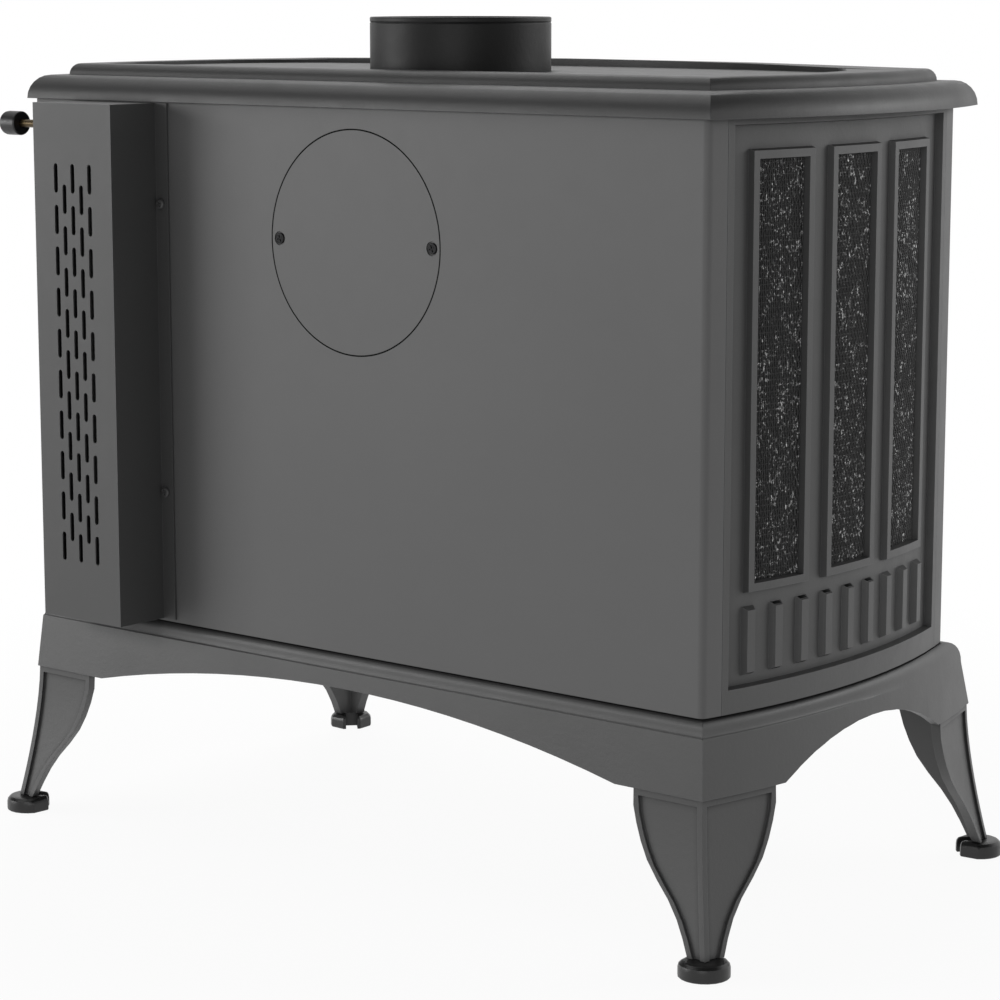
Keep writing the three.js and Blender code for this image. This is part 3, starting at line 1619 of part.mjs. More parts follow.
function makeDoor() {
  const group = new THREE.Group();
  group.position.set(hingeX, hingeY, bodyZ);
  group.updateMatrixWorld();
  const handle = new THREE.Group();
  handle.position.set(shaftX - hingeX, doorFrontY - hingeY, shaftZ - bodyZ);
  group.add(handle);
  group.attach(piece('door_frame', makeDoorFrame(), castFinish));
  group.attach(piece('door_gasket', makeDoorGasket(), gasketFinish));
  group.attach(piece('glass_gasket', makeGlassGasket(), gasketFinish));
  group.attach(piece('door_glass', makeGlass(), glassFinish));
  group.attach(piece('glass_clip_lower', makeLowerClip(), steelFinish));
  group.attach(piece('glass_clip_upper', makeUpperClip(), steelFinish));
  group.attach(piece('handle_bush', makeHandleBush(), brassFinish));
  handle.attach(piece('door_handle', makeHandle(), steelFinish));
  handle.attach(piece('latch_cam', makeCam(), steelFinish));
  handle.attach(piece('handle_grip', makeGrip(), gripFinish));
  return group;
}

const stove = new THREE.Group();
stove.add(makeStand(), makeCasing(), makeAirControl(), makeFireChamber(), makeDoor());

// The origin is the middle of the footprint, at the floor
stove.updateMatrixWorld(true);
const bounds = new THREE.Box3().setFromObject(stove, true);
const middle = bounds.getCenter(new THREE.Vector3());
stove.position.set(-middle.x, -middle.y, -bounds.min.z);
stove.updateMatrixWorld(true);

export default stove;
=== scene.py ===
import math
import random

import bmesh
import bpy
from mathutils import Matrix, Vector


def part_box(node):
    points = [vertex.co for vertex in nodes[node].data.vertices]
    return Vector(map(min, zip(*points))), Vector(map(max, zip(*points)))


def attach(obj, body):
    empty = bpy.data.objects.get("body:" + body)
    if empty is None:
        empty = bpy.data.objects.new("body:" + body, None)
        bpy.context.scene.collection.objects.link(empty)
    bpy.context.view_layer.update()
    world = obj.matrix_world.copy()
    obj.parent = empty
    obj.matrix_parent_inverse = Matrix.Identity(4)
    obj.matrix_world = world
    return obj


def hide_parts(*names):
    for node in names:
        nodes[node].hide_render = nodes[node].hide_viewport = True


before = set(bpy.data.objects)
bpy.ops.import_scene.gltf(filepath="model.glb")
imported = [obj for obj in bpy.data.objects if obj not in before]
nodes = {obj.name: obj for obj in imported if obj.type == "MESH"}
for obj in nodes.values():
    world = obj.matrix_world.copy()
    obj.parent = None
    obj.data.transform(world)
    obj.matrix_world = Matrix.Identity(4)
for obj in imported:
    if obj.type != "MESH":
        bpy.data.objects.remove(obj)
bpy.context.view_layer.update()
random.seed(7)

MM = 0.001
SHIFT_Y = 0.18805

# Plan of the bowed sides, in millimetres before the shift to the part's origin
BOW_RADIUS = 648
BOW_CENTRE_X = 261
BOW_MID_Y = -165
BODY_Z = 195.3


def bow_point(side, s, depth, z):
    """A point on a bowed side: s along the arc, depth above the border's face, side -1 or 1."""
    angle = s / BOW_RADIUS
    radius = BOW_RADIUS + depth
    x = BOW_CENTRE_X - radius * math.cos(angle)
    y = BOW_MID_Y + radius * math.sin(angle)
    return Vector((-side * x * MM, y * MM + SHIFT_Y, z * MM))


# Materials, with lengths in metres and noise scales in cycles per metre
# Painted shade for the corners and creases of the castings
IRON_SHADE = 0x161617
# A painted highlight, with light wear, for the castings' edges
IRON_EDGE_HIGHLIGHT_AND_WEAR = 0x8E8F91
IRON_MOTTLE = 11.0
IRON_SAND = 260.0
IRON_FINE = 1100.0
# Painted shade for sheet steel near tall parts
SHEET_SHADE = 0x1A1A1B
# A painted highlight, with light wear, for the sheet's edges
SHEET_EDGE_HIGHLIGHT_AND_WEAR = 0x98999B
# A painted highlight, with light wear, for plastic edges
PLASTIC_EDGE_HIGHLIGHT_AND_WEAR = 0x5A5A5A
PLASTIC_HAZE = 0x060606
WIRE_DARK = 0x363636
# A painted glint on the wire
WIRE_GLINT = 0xD4D4D4
FLOOR_DARK = 0xF3F3F3
FLOOR_LIGHT = 0xF7F7F7


def srgb(value):
    """A grey or hex colour as linear red, green, blue and alpha."""
    parts = [(value >> shift & 255) / 255 for shift in (16, 8, 0)]
    return [c / 12.92 if c <= 0.04045 else ((c + 0.055) / 1.055) ** 2.4 for c in parts] + [1.0]


class Nodes:
    """A material with a Principled shader and short calls for its nodes."""

    def __init__(self, name):
        self.material = bpy.data.materials.new(name)
        self.material.use_nodes = True
        self.tree = self.material.node_tree
        self.shader = self.tree.nodes["Principled BSDF"]
        self.coords = self.new("ShaderNodeTexCoord").outputs["Object"]

    def new(self, kind, **settings):
        node = self.tree.nodes.new(kind)
        for key, value in settings.items():
            setattr(node, key, value)
        return node

    def link(self, source, target):
        self.tree.links.new(source, target)

    def noise(self, scale, detail=3.0, rough=0.55, coords=None):
        node = self.new("ShaderNodeTexNoise")
        node.inputs["Scale"].default_value = scale
        node.inputs["Detail"].default_value = detail
        node.inputs["Roughness"].default_value = rough
        self.link(coords or self.coords, node.inputs["Vector"])
        return node.outputs["Fac"]

    def remap(self, value, low, high, out_low, out_high):
        node = self.new("ShaderNodeMapRange")
        for i, number in enumerate((low, high, out_low, out_high)):
            node.inputs[i + 1].default_value = number
        self.link(value, node.inputs[0])
        return node.outputs[0]

    def math(self, operation, a, b=None, clamp=False):
        node = self.new("ShaderNodeMath", operation=operation, use_clamp=clamp)
        for i, value in enumerate((a, b)):
            if value is None:
                continue
            if isinstance(value, (int, float)):
                node.inputs[i].default_value = value
            else:
                self.link(value, node.inputs[i])
        return node.outputs[0]

    def mix(self, factor, a, b):
        node = self.new("ShaderNodeMix", data_type="RGBA", blend_type="MIX")
        for socket, value in ((node.inputs[0], factor), (node.inputs[6], a), (node.inputs[7], b)):
            if isinstance(value, (int, float, list)):
                socket.default_value = value
            else:
                self.link(value, socket)
        return node.outputs[2]

    def edges(self, radius):
        """1 on sharp outer edges and in sharp corners, 0 on flat faces."""
        # A mask for painted highlights, with light wear, along edges
        bevel = self.new("ShaderNodeBevel", samples=4)
        bevel.inputs["Radius"].default_value = radius
        plain = self.new("ShaderNodeNewGeometry")
        dot = self.new("ShaderNodeVectorMath", operation="DOT_PRODUCT")
        self.link(bevel.outputs[0], dot.inputs[0])
        self.link(plain.outputs["Normal"], dot.inputs[1])
        return self.remap(dot.outputs["Value"], 0.99, 0.85, 0.0, 1.0)

    def crevices(self, distance, clear=0.95):
        # A mask for painted shade: 1 where ambient occlusion finds corners and recesses, 0 in the
        # open
        occlusion = self.new("ShaderNodeAmbientOcclusion", samples=4)
        occlusion.inputs["Distance"].default_value = distance
        return self.remap(occlusion.outputs["AO"], 0.35, clear, 1.0, 0.0)

    def bump(self, height, distance):
        node = self.new("ShaderNodeBump")
        node.inputs["Distance"].default_value = distance
        node.inputs["Strength"].default_value = 1.0
        self.link(height, node.inputs["Height"])
        return node.outputs["Normal"]

    def finish(self, color, roughness, normal=None, metallic=0.0, specular=0.5):
        for key, value in (("Base Color", color), ("Roughness", roughness), ("Normal", normal)):
            if isinstance(value, (int, float, list)):
                self.shader.inputs[key].default_value = value
            elif value is not None:
                self.link(value, self.shader.inputs[key])
        self.shader.inputs["Metallic"].default_value = metallic
        self.shader.inputs["Specular IOR Level"].default_value = specular
        return self.material


def painted_iron(name, color, light, rough, grain, specular, reach=0.01, shade_amount=0.35):
    """Heat-proof paint on a casting: sand grain, mottling, a painted highlight with light wear on
    its edges, and painted shade in its corners, which are rougher too.
    """
    m = Nodes(name)
    mottle = m.noise(IRON_MOTTLE, 4.0)
    tone = m.mix(m.remap(mottle, 0.35, 0.65, 0.0, 1.0), srgb(color), srgb(light))
    # Painted shade: darker in corners, creases and recesses, and rougher there too
    corner_shade = m.math("MULTIPLY", m.crevices(reach), shade_amount)
    tone = m.mix(corner_shade, tone, srgb(IRON_SHADE))
    # Painted highlight with light wear: lighter along sharp edges
    tone = m.mix(m.math("MULTIPLY", m.edges(0.0012), 0.18), tone, srgb(IRON_EDGE_HIGHLIGHT_AND_WEAR))
    fine = m.noise(IRON_FINE, 2.0, 0.6)
    sand = m.noise(IRON_SAND, 3.0, 0.6)
    height = m.math("ADD", m.math("MULTIPLY", fine, 0.5), sand)
    gloss = m.remap(m.noise(34.0, 5.0, 0.65), 0.3, 0.7, rough - 0.03, rough + 0.03)
    gloss = m.math("ADD", gloss, m.math("MULTIPLY", corner_shade, 0.5), clamp=True)
    return m.finish(tone, gloss, m.bump(height, grain), 0.0, specular)


def painted_sheet(name, color, light, rough):
    """Powder coat on sheet steel: a very fine even orange peel, painted shade near tall parts and
    in recesses, and a painted highlight with light wear on its edges.
    """
    m = Nodes(name)
    tone = m.mix(m.remap(m.noise(5.0, 3.0), 0.35, 0.65, 0.0, 1.0), srgb(color), srgb(light))
    # Painted shade: darker near the vent box, under the top plate's rim and in recesses
    tone = m.mix(m.math("MULTIPLY", m.crevices(0.12, 1.0), 0.5), tone, srgb(SHEET_SHADE))
    # Painted highlight with light wear: lighter along sharp edges
    tone = m.mix(m.math("MULTIPLY", m.edges(0.0008), 0.15), tone, srgb(SHEET_EDGE_HIGHLIGHT_AND_WEAR))
    peel = m.noise(1500.0, 2.0, 0.5)
    gloss = m.remap(m.noise(60.0, 4.0), 0.3, 0.7, rough - 0.015, rough + 0.015)
    return m.finish(tone, gloss, m.bump(peel, 0.00005), 0.0, 0.35)


def bare_metal(name, color, light, rough, metallic=1.0, grain=0.00002, stretch=(1, 1, 1)):
    """Worn metal: fine drawn scratches along its length and cloudy tarnish."""
    m = Nodes(name)
    mapping = m.new("ShaderNodeMapping")
    mapping.inputs["Scale"].default_value = stretch
    m.link(m.coords, mapping.inputs["Vector"])
    scratch = m.noise(900.0, 3.0, 0.7, mapping.outputs[0])
    cloud = m.noise(70.0, 5.0, 0.6)
    tone = m.mix(m.remap(cloud, 0.35, 0.68, 0.0, 1.0), srgb(color), srgb(light))
    gloss = m.remap(scratch, 0.25, 0.75, rough - 0.08, rough + 0.12)
    return m.finish(tone, gloss, m.bump(scratch, grain), metallic)


def moulded(name, color, rough, specular=0.5):
    """Moulded phenolic: fine haze, and a painted highlight with light wear on its edges."""
    m = Nodes(name)
    haze = m.remap(m.noise(140.0, 4.0), 0.4, 0.62, 0.0, 1.0)
    tone = m.mix(haze, srgb(color), srgb(color + PLASTIC_HAZE))
    # Painted highlight with light wear: lighter along sharp edges
    tone = m.mix(m.math("MULTIPLY", m.edges(0.0007), 0.3), tone, srgb(PLASTIC_EDGE_HIGHLIGHT_AND_WEAR))
    gloss = m.remap(m.noise(420.0, 3.0), 0.3, 0.7, rough - 0.06, rough + 0.1)
    return m.finish(tone, gloss, m.bump(m.noise(1800.0, 2.0), 0.00003), 0.0, specular)


def fire_brick(name, color, dark, soot):
    """Vermiculite brick: flaky grain, pinholes and a bloom of soot."""
    m = Nodes(name)
    cell = m.new("ShaderNodeTexVoronoi")
    cell.inputs["Scale"].default_value = 420.0
    m.link(m.coords, cell.inputs["Vector"])
    flakes = m.remap(cell.outputs["Distance"], 0.0, 0.6, 0.0, 1.0)
    tone = m.mix(flakes, srgb(dark), srgb(color))
    smoke = m.remap(m.noise(9.0, 5.0, 0.6), 0.45, 0.75, 0.0, 0.55)
    tone = m.mix(smoke, tone, srgb(soot))
    height = m.math("ADD", m.noise(500.0, 4.0, 0.7), m.math("MULTIPLY", flakes, 0.4))
    return m.finish(tone, 0.95, m.bump(height, 0.0005), 0.0, 0.2)


def rope(name, color, light):
    """Braided glass-fibre rope laid as a flat ring."""
    m = Nodes(name)
    wave = m.new("ShaderNodeTexWave", wave_type="BANDS", bands_direction="DIAGONAL")
    wave.inputs["Scale"].default_value = 180.0
    wave.inputs["Distortion"].default_value = 1.2
    m.link(m.coords, wave.inputs["Vector"])
    tone = m.mix(wave.outputs["Fac"], srgb(color), srgb(light))
    tone = m.mix(m.remap(m.noise(40.0, 4.0), 0.4, 0.7, 0.0, 0.6), tone, srgb(color))
    height = m.math("ADD", wave.outputs["Fac"], m.math("MULTIPLY", m.noise(1500.0, 3.0), 0.4))
    return m.finish(tone, 0.9, m.bump(height, 0.0006), 0.0, 0.2)


def stove_glass(name):
    """Ceramic glass with a faint brown haze in soft clouds."""
    m = Nodes(name)
    haze = m.remap(m.noise(14.0, 5.0, 0.6), 0.35, 0.75, 0.02, 0.08)
    m.shader.inputs["Transmission Weight"].default_value = 1.0
    m.shader.inputs["IOR"].default_value = 1.5
    tone = m.mix(m.remap(m.noise(7.0, 4.0), 0.4, 0.7, 0.0, 1.0), srgb(0xe6e2da), srgb(0xdad4c9))
    return m.finish(tone, haze, m.bump(m.noise(30.0, 2.0), 0.00002))


def turned_wood(name, color, dark):
    """Black-stained turned wood with the grain along the grip."""
    m = Nodes(name)
    mapping = m.new("ShaderNodeMapping")
    mapping.inputs["Scale"].default_value = (9, 90, 90)
    m.link(m.coords, mapping.inputs["Vector"])
    grain = m.noise(4.0, 6.0, 0.65, mapping.outputs[0])
    tone = m.mix(m.remap(grain, 0.35, 0.65, 0.0, 1.0), srgb(dark), srgb(color))
    return m.finish(tone, m.remap(grain, 0.3, 0.7, 0.5, 0.36), m.bump(grain, 0.00012), 0.0, 0.5)


def wire(name):
    """Blackened woven wire with painted glints: bright spots in clusters, standing for the sparkle
    where the wires cross.
    """
    m = Nodes(name)
    spots = m.noise(380.0, 3.0, 0.6)
    clusters = m.noise(85.0, 3.0, 0.7)
    bright = m.remap(spots, 0.53, 0.66, 0.0, 1.0)
    # Painted glints: bright spots in clusters, glossier there too
    glint = m.math("MULTIPLY", bright, m.remap(clusters, 0.45, 0.6, 0.0, 1.0))
    tone = m.mix(glint, srgb(WIRE_DARK), srgb(WIRE_GLINT))
    gloss = m.remap(glint, 0.0, 1.0, 0.5, 0.3)
    return m.finish(tone, gloss, m.bump(m.noise(2200.0, 2.0), 0.00002), 0.5)


def ground(name, centre):
    """A pale floor that turns into the white background away from the object."""
    m = Nodes(name)
    speck = m.noise(420.0, 3.0)
    tone = m.mix(m.remap(speck, 0.3, 0.7, 0.0, 1.0), srgb(FLOOR_DARK), srgb(FLOOR_LIGHT))
    m.finish(tone, 0.9, m.bump(speck, 0.00005), 0.0, 0.1)
    place = m.new("ShaderNodeVectorMath", operation="DISTANCE")
    m.link(m.coords, place.inputs[0])
    place.inputs[1].default_value = centre
    fade = m.remap(place.outputs["Value"], 0.45, 1.2, 0.94, 1.0)
    path = m.new("ShaderNodeLightPath")
    direct = m.math("MAXIMUM", path.outputs["Is Camera Ray"], path.outputs["Is Glossy Ray"])
    seen = m.math("MULTIPLY", fade, direct)
    glow = m.new("ShaderNodeEmission")
    glow.inputs["Strength"].default_value = 1.0
    blend = m.new("ShaderNodeMixShader")
    m.link(seen, blend.inputs[0])
    m.link(m.shader.outputs[0], blend.inputs[1])
    m.link(glow.outputs[0], blend.inputs[2])
    m.link(blend.outputs[0], m.tree.nodes["Material Output"].inputs["Surface"])
    return m.material


# Where given, the last two numbers are the reach and the strength of the painted shade in corners
CAST = painted_iron("cast_paint", 0x484848, 0x4A4A4A, 0.45, 0.00012, 0.5)
TOP_CAST = painted_iron("top_paint", 0x303030, 0x323232, 0.45, 0.00012, 0.44)
BASE_CAST = painted_iron("base_paint", 0x4A4A4A, 0x4C4C4C, 0.45, 0.00012, 0.5, 0.03, 0.9)
SIDE_CAST = painted_iron("side_paint", 0x484848, 0x4A4A4A, 0.45, 0.00012, 0.5, 0.03, 0.45)
LEG_CAST = painted_iron("leg_paint", 0x484848, 0x4A4A4A, 0.45, 0.00012, 0.5, 0.006, 0.9)
COLLAR = painted_iron("collar_paint", 0x0E0E0E, 0x111111, 0.45, 0.00012, 0.25)
FOOT = painted_iron("foot_paint", 0x1E1E1E, 0x232323, 0.34, 0.00008, 0.42, 0.004, 0.3)
SHEET = painted_sheet("panel_paint", 0x636363, 0x656565, 0.48)
# A darker copy of the panel paint for the vent box and its screws: painted shade
SHADED_SHEET = painted_sheet("vent_paint_shaded", 0x505050, 0x525252, 0.48)
STEEL = bare_metal("dull_steel", 0x4C4D50, 0x6A6B6E, 0.5, 0.8, 0.00004)
BLACK_STEEL = bare_metal("black_screw", 0x101011, 0x242425, 0.4, 0.8)
# Near-black for bands of painted shade in seams
JOINT_SHADE = moulded("joint_painted_shade", 0x050505, 0.9, 0.05)
STAINLESS = bare_metal("air_tube_steel", 0x8A8378, 0xA9A7A4, 0.38, 1.0, 0.00002, (0.05, 1, 1))
BRASS = bare_metal("rod_brass", 0x4C4235, 0x65583F, 0.4, 1.0, 0.00002, (0.05, 1, 1))
KNOB = moulded("knob_phenolic", 0x121213, 0.38)
BRICK = fire_brick("fire_brick", 0xC9AE84, 0xA98C62, 0x3B342C)
BOARD = fire_brick("baffle_board", 0xD8C8A6, 0xBBA882, 0x4A4238)
ROPE = rope("gasket_rope", 0x34332F, 0x6B6963)
GLASS = stove_glass("ceramic_glass")
GRIP = turned_wood("grip_wood", 0x2B231D, 0x15110E)
WIRE = wire("screen_wire")
SCREEN_BACK = moulded("screen_backing", 0x1B1B1C, 0.6, 0.3)

LOOKS = {
    "base": BASE_CAST, "top_plate": TOP_CAST, "flue_collar": COLLAR,
    "rear_panel": SHEET, "rear_flue_cover": SHEET, "vent_box": SHADED_SHEET,
    "air_knob": KNOB, "air_rod": BRASS, "air_rod_bush": BRASS, "handle_bush": BRASS,
    "door_glass": GLASS, "door_gasket": ROPE, "glass_gasket": ROPE, "baffle": BOARD,
    "handle_grip": GRIP,
}
PREFIX_LOOKS = (
    ("foot_", FOOT), ("leg_", LEG_CAST), ("side_casting", SIDE_CAST), ("window_mesh", SCREEN_BACK),
    ("air_tube", STAINLESS), ("brick_", BRICK),
    ("cover_screw", BLACK_STEEL), ("vent_box_screw", BLACK_STEEL),
)
STEEL_NODES = (
    "firebox", "rear_cover_ring", "air_rod_bracket", "air_damper", "air_duct", "door_handle",
    "latch_cam", "hinge_pin_1", "hinge_pin_2", "glass_clip_lower", "glass_clip_upper",
)


def look_of(name):
    """The material of a CAD node."""
    if name in LOOKS:
        return LOOKS[name]
    if name in STEEL_NODES:
        return STEEL
    return next((look for prefix, look in PREFIX_LOOKS if name.startswith(prefix)), CAST)


# Softened edges and smooth rounds on the CAD solids, by modifiers only
def smooth_group(angle):
    """Shades faces smooth and keeps edges sharper than the angle crisp."""
    group = bpy.data.node_groups.new("smooth_by_angle", "GeometryNodeTree")
    group.interface.new_socket("Geometry", in_out="INPUT", socket_type="NodeSocketGeometry")
    group.interface.new_socket("Geometry", in_out="OUTPUT", socket_type="NodeSocketGeometry")
    start = group.nodes.new("NodeGroupInput")
    end = group.nodes.new("NodeGroupOutput")
    measure = group.nodes.new("GeometryNodeInputMeshEdgeAngle")
    compare = group.nodes.new("FunctionNodeCompare")
    compare.operation = "LESS_EQUAL"
    compare.inputs[1].default_value = angle
    group.links.new(measure.outputs["Unsigned Angle"], compare.inputs[0])
    faces = group.nodes.new("GeometryNodeSetShadeSmooth")
    faces.domain = "FACE"
    edges = group.nodes.new("GeometryNodeSetShadeSmooth")
    edges.domain = "EDGE"
    group.links.new(start.outputs[0], faces.inputs["Geometry"])
    group.links.new(faces.outputs[0], edges.inputs["Geometry"])
    group.links.new(compare.outputs[0], edges.inputs["Shade Smooth"])
    group.links.new(edges.outputs[0], end.inputs[0])
    return group


SMOOTH = smooth_group(math.radians(28))
BEVEL_ANGLE = math.radians(32)
FLAT_ANGLE = math.radians(0.6)
WELD_GAP = 0.00001
EDGE_WIDTH = 0.4
EDGE_WIDTHS = {
    "base": 0.4, "top_plate": 0.6, "side_casting_left": 0.5, "side_casting_right": 0.5,
    "front_casting": 0.8, "door_frame": 0.8, "flue_collar": 0.5, "vent_box": 0,
    "rear_panel": 0, "rear_flue_cover": 0, "firebox": 0.5,
}


def soften(obj, width, join_flats=True):
    """Rounds the edges by a width in millimetres and shades flat faces flat."""
    weld = obj.modifiers.new("weld", "WELD")
    weld.merge_threshold = WELD_GAP
    if join_flats:
        flat = obj.modifiers.new("flat_faces", "DECIMATE")
        flat.decimate_type = "DISSOLVE"
        flat.angle_limit = FLAT_ANGLE
    if width:
        bevel = obj.modifiers.new("edges", "BEVEL")
        bevel.width = width * MM
        bevel.segments = 2
        bevel.limit_method = "ANGLE"
        bevel.angle_limit = BEVEL_ANGLE
        bevel.use_clamp_overlap = True
        bevel.miter_outer = "MITER_ARC"
    smooth = obj.modifiers.new("smooth", "NODES")
    smooth.node_group = SMOOTH
    flats = obj.modifiers.new("flat_normals", "WEIGHTED_NORMAL")
    flats.mode = "FACE_AREA"
    flats.weight = 50
    flats.keep_sharp = True


for name, obj in nodes.items():
    obj.data.materials.clear()
    obj.data.materials.append(look_of(name))
    width = EDGE_WIDTHS.get(name, EDGE_WIDTH)
    if name.startswith(("window_mesh", "air_tube")) or name.endswith("gasket"):
        width = 0
    soften(obj, width, name != "front_casting")


def linked(name, data):
    """A new object in the scene, from a mesh, a camera or a lamp."""
    obj = bpy.data.objects.new(name, data)
    bpy.context.scene.collection.objects.link(obj)
    return obj


def add_piece(name, mesh, material, body):
    """A visible piece of the stove that the CAD doesn't have."""
    obj = linked(name, mesh)
    mesh.materials.append(material)
    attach(obj, body)
    return obj


# Woven wire screens in the side windows
WINDOW_MIDS = [84.9, -7.5, -99.9]
SCREEN_HALF = 27.3
SCREEN_Z = (295.2, 615.8)
WARP_PITCH = 2.1
WEFT_PITCH = 4.6
WARP_RADIUS = 0.62
WEFT_RADIUS = 0.45
WIRE_WAVE = 0.4
WIRE_SWAY = (0.55, 1.25)
SCREEN_DEPTH = -7.0


def screen_mesh(side, mid):
    """A woven screen round one window, with its upright and level wires as thin tubes."""
    columns = round(2 * SCREEN_HALF / WARP_PITCH)
    rows = round((SCREEN_Z[1] - SCREEN_Z[0]) / WEFT_PITCH)
    step_s = 2 * SCREEN_HALF / columns
    step_z = (SCREEN_Z[1] - SCREEN_Z[0]) / rows
    sway = [[random.uniform(*WIRE_SWAY) for _ in range(columns)] for _ in range(rows)]
    points, faces = [], []

    def tube(path, across):
        first = len(points)
        for s, depth, z in path:
            for ds, dd, dz in across:
                points.append(bow_point(side, s + ds, depth + dd, z + dz))
        for i in range(len(path) - 1):
            for k in range(4):
                a = first + 4 * i + k
                b = first + 4 * i + (k + 1) % 4
                quad = (a, b, b + 4, a + 4)
                faces.append(quad if side > 0 else quad[::-1])

    r, t = WARP_RADIUS, WEFT_RADIUS
    level = [(0, t, 0), (0, 0, t), (0, -t, 0), (0, 0, -t)]
    upright = [(0, r, 0), (-r, 0, 0), (0, -r, 0), (r, 0, 0)]
    for j in range(rows):
        z = SCREEN_Z[0] + (j + 0.5) * step_z
        path = []
        for i in range(columns):
            s = mid - SCREEN_HALF + (i + 0.5) * step_s
            over = WIRE_WAVE * sway[j][i] * (1 if (i + j) % 2 else -1)
            path += [(s - step_s / 2, SCREEN_DEPTH, z), (s, SCREEN_DEPTH + over, z)]
        path.append((mid + SCREEN_HALF, SCREEN_DEPTH, z))
        tube(path, level)
    for i in range(columns):
        s = mid - SCREEN_HALF + (i + 0.5) * step_s
        path = []
        for j in range(rows):
            z = SCREEN_Z[0] + (j + 0.5) * step_z
            over = WIRE_WAVE * sway[j][i] * (-1 if (i + j) % 2 else 1)
            path += [(s, SCREEN_DEPTH, z - step_z / 2), (s, SCREEN_DEPTH + over, z)]
        path.append((s, SCREEN_DEPTH, SCREEN_Z[1]))
        tube(path, upright)
    mesh = bpy.data.meshes.new("screen")
    mesh.from_pydata(points, [], faces)
    mesh.polygons.foreach_set("use_smooth", [True] * len(mesh.polygons))
    mesh.update()
    return mesh


for side, hand in ((-1, "left"), (1, "right")):
    for place, mid in zip(("rear", "middle", "front"), WINDOW_MIDS):
        screen = screen_mesh(side, mid)
        add_piece(f"woven_screen_{hand}_{place}", screen, WIRE, "stove")


# Screw heads with a cross recess, in place of the plain studs, in metres
SCREW_RADIUS = 0.0046
SCREW_SHANK = 0.0022
SCREW_DEPTH = 0.008
SCREW_SIDE_SHARE = 0.35
SCREW_STEPS = 24
CROWN_STEPS = 5
RECESS_TURN = 0.35
RECESS_LENGTH_SHARE = 1.25
RECESS_WIDTH_SHARE = 0.26
COVER_SCREW = (0.0009, 0.0011, 0.0006)
VENT_SCREW = (0.0026, 0.0026, 0.0011)


def screw_mesh(centre, radius, height, recess):
    """A pan head on the rear panel, facing +Y, with its shank behind it."""
    work = bmesh.new()
    side, crown = height * SCREW_SIDE_SHARE, height * (1 - SCREW_SIDE_SHARE)
    profile = [(SCREW_SHANK, -SCREW_DEPTH), (SCREW_SHANK, 0.0), (radius, 0.0), (radius, side)]
    for i in range(1, CROWN_STEPS):
        angle = i / CROWN_STEPS * math.pi / 2
        profile.append((radius - crown * (1 - math.cos(angle)), side + crown * math.sin(angle)))
    profile.append((radius - crown, height))
    rings = []
    for distance, level in profile:
        ring = []
        for k in range(SCREW_STEPS):
            turn = k / SCREW_STEPS * math.tau
            place = (distance * math.cos(turn), level, distance * math.sin(turn))
            ring.append(work.verts.new(place))
        rings.append(ring)
    for low, high in zip(rings, rings[1:]):
        for k in range(SCREW_STEPS):
            after = (k + 1) % SCREW_STEPS
            work.faces.new((low[k], high[k], high[after], low[after]))
    work.faces.new(rings[0])
    work.faces.new(rings[-1][::-1])
    bmesh.ops.recalc_face_normals(work, faces=work.faces)
    head = bpy.data.meshes.new("screw_head")
    work.to_mesh(head)
    work.free()
    body = linked("screw_head", head)
    cutters = []
    for turn in (RECESS_TURN, RECESS_TURN + math.pi / 2):
        cross = bmesh.new()
        bmesh.ops.create_cube(cross, size=1.0)
        length, breadth = radius * RECESS_LENGTH_SHARE, radius * RECESS_WIDTH_SHARE
        size = Matrix.Diagonal((length, recess * 2, breadth, 1))
        place = Matrix.Translation((0, height, 0)) @ Matrix.Rotation(turn, 4, "Y") @ size
        bmesh.ops.transform(cross, matrix=place, verts=cross.verts)
        blade = bpy.data.meshes.new("blade")
        cross.to_mesh(blade)
        cross.free()
        cutter = linked("blade", blade)
        cut = body.modifiers.new("cut", "BOOLEAN")
        cut.object = cutter
        cut.operation = "DIFFERENCE"
        cutters.append(cutter)
    bpy.context.view_layer.update()
    graph = bpy.context.evaluated_depsgraph_get()
    mesh = bpy.data.meshes.new_from_object(body.evaluated_get(graph))
    for extra in (body, *cutters):
        bpy.data.objects.remove(extra)
    mesh.transform(Matrix.Translation(centre))
    return mesh


def add_screw(node, piece, look, sizes):
    """A screw head where the CAD has a stud. Sizes are its seat's depth, height and recess."""
    seat, height, recess = sizes
    low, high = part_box(node)
    centre = Vector(((low.x + high.x) / 2, high.y - seat, (low.z + high.z) / 2))
    mesh = screw_mesh(centre, SCREW_RADIUS, height, recess)
    screw = add_piece(piece, mesh, look, "stove")
    soften(screw, 0)
    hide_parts(node)


for number in (1, 2):
    add_screw(f"cover_screw_{number}", f"cover_screw_head_{number}", BLACK_STEEL, COVER_SCREW)
    add_screw(f"vent_box_screw_{number}", f"vent_screw_head_{number}", SHADED_SHEET, VENT_SCREW)


# Painted shade in the joints: dark bands round the flue cover, and between the body and the base,
# in metres
COVER_JOINT_STEPS = 160
COVER_JOINT_REACH = (-0.0004, 0.0008)
COVER_JOINT_DEPTH = (-0.0004, 0.00005)
BODY_JOINT_Z = (0.1946, 0.1958)
BODY_JOINT_GROW = (0.996, 1.0004)
BODY_MID_Y = 0.02


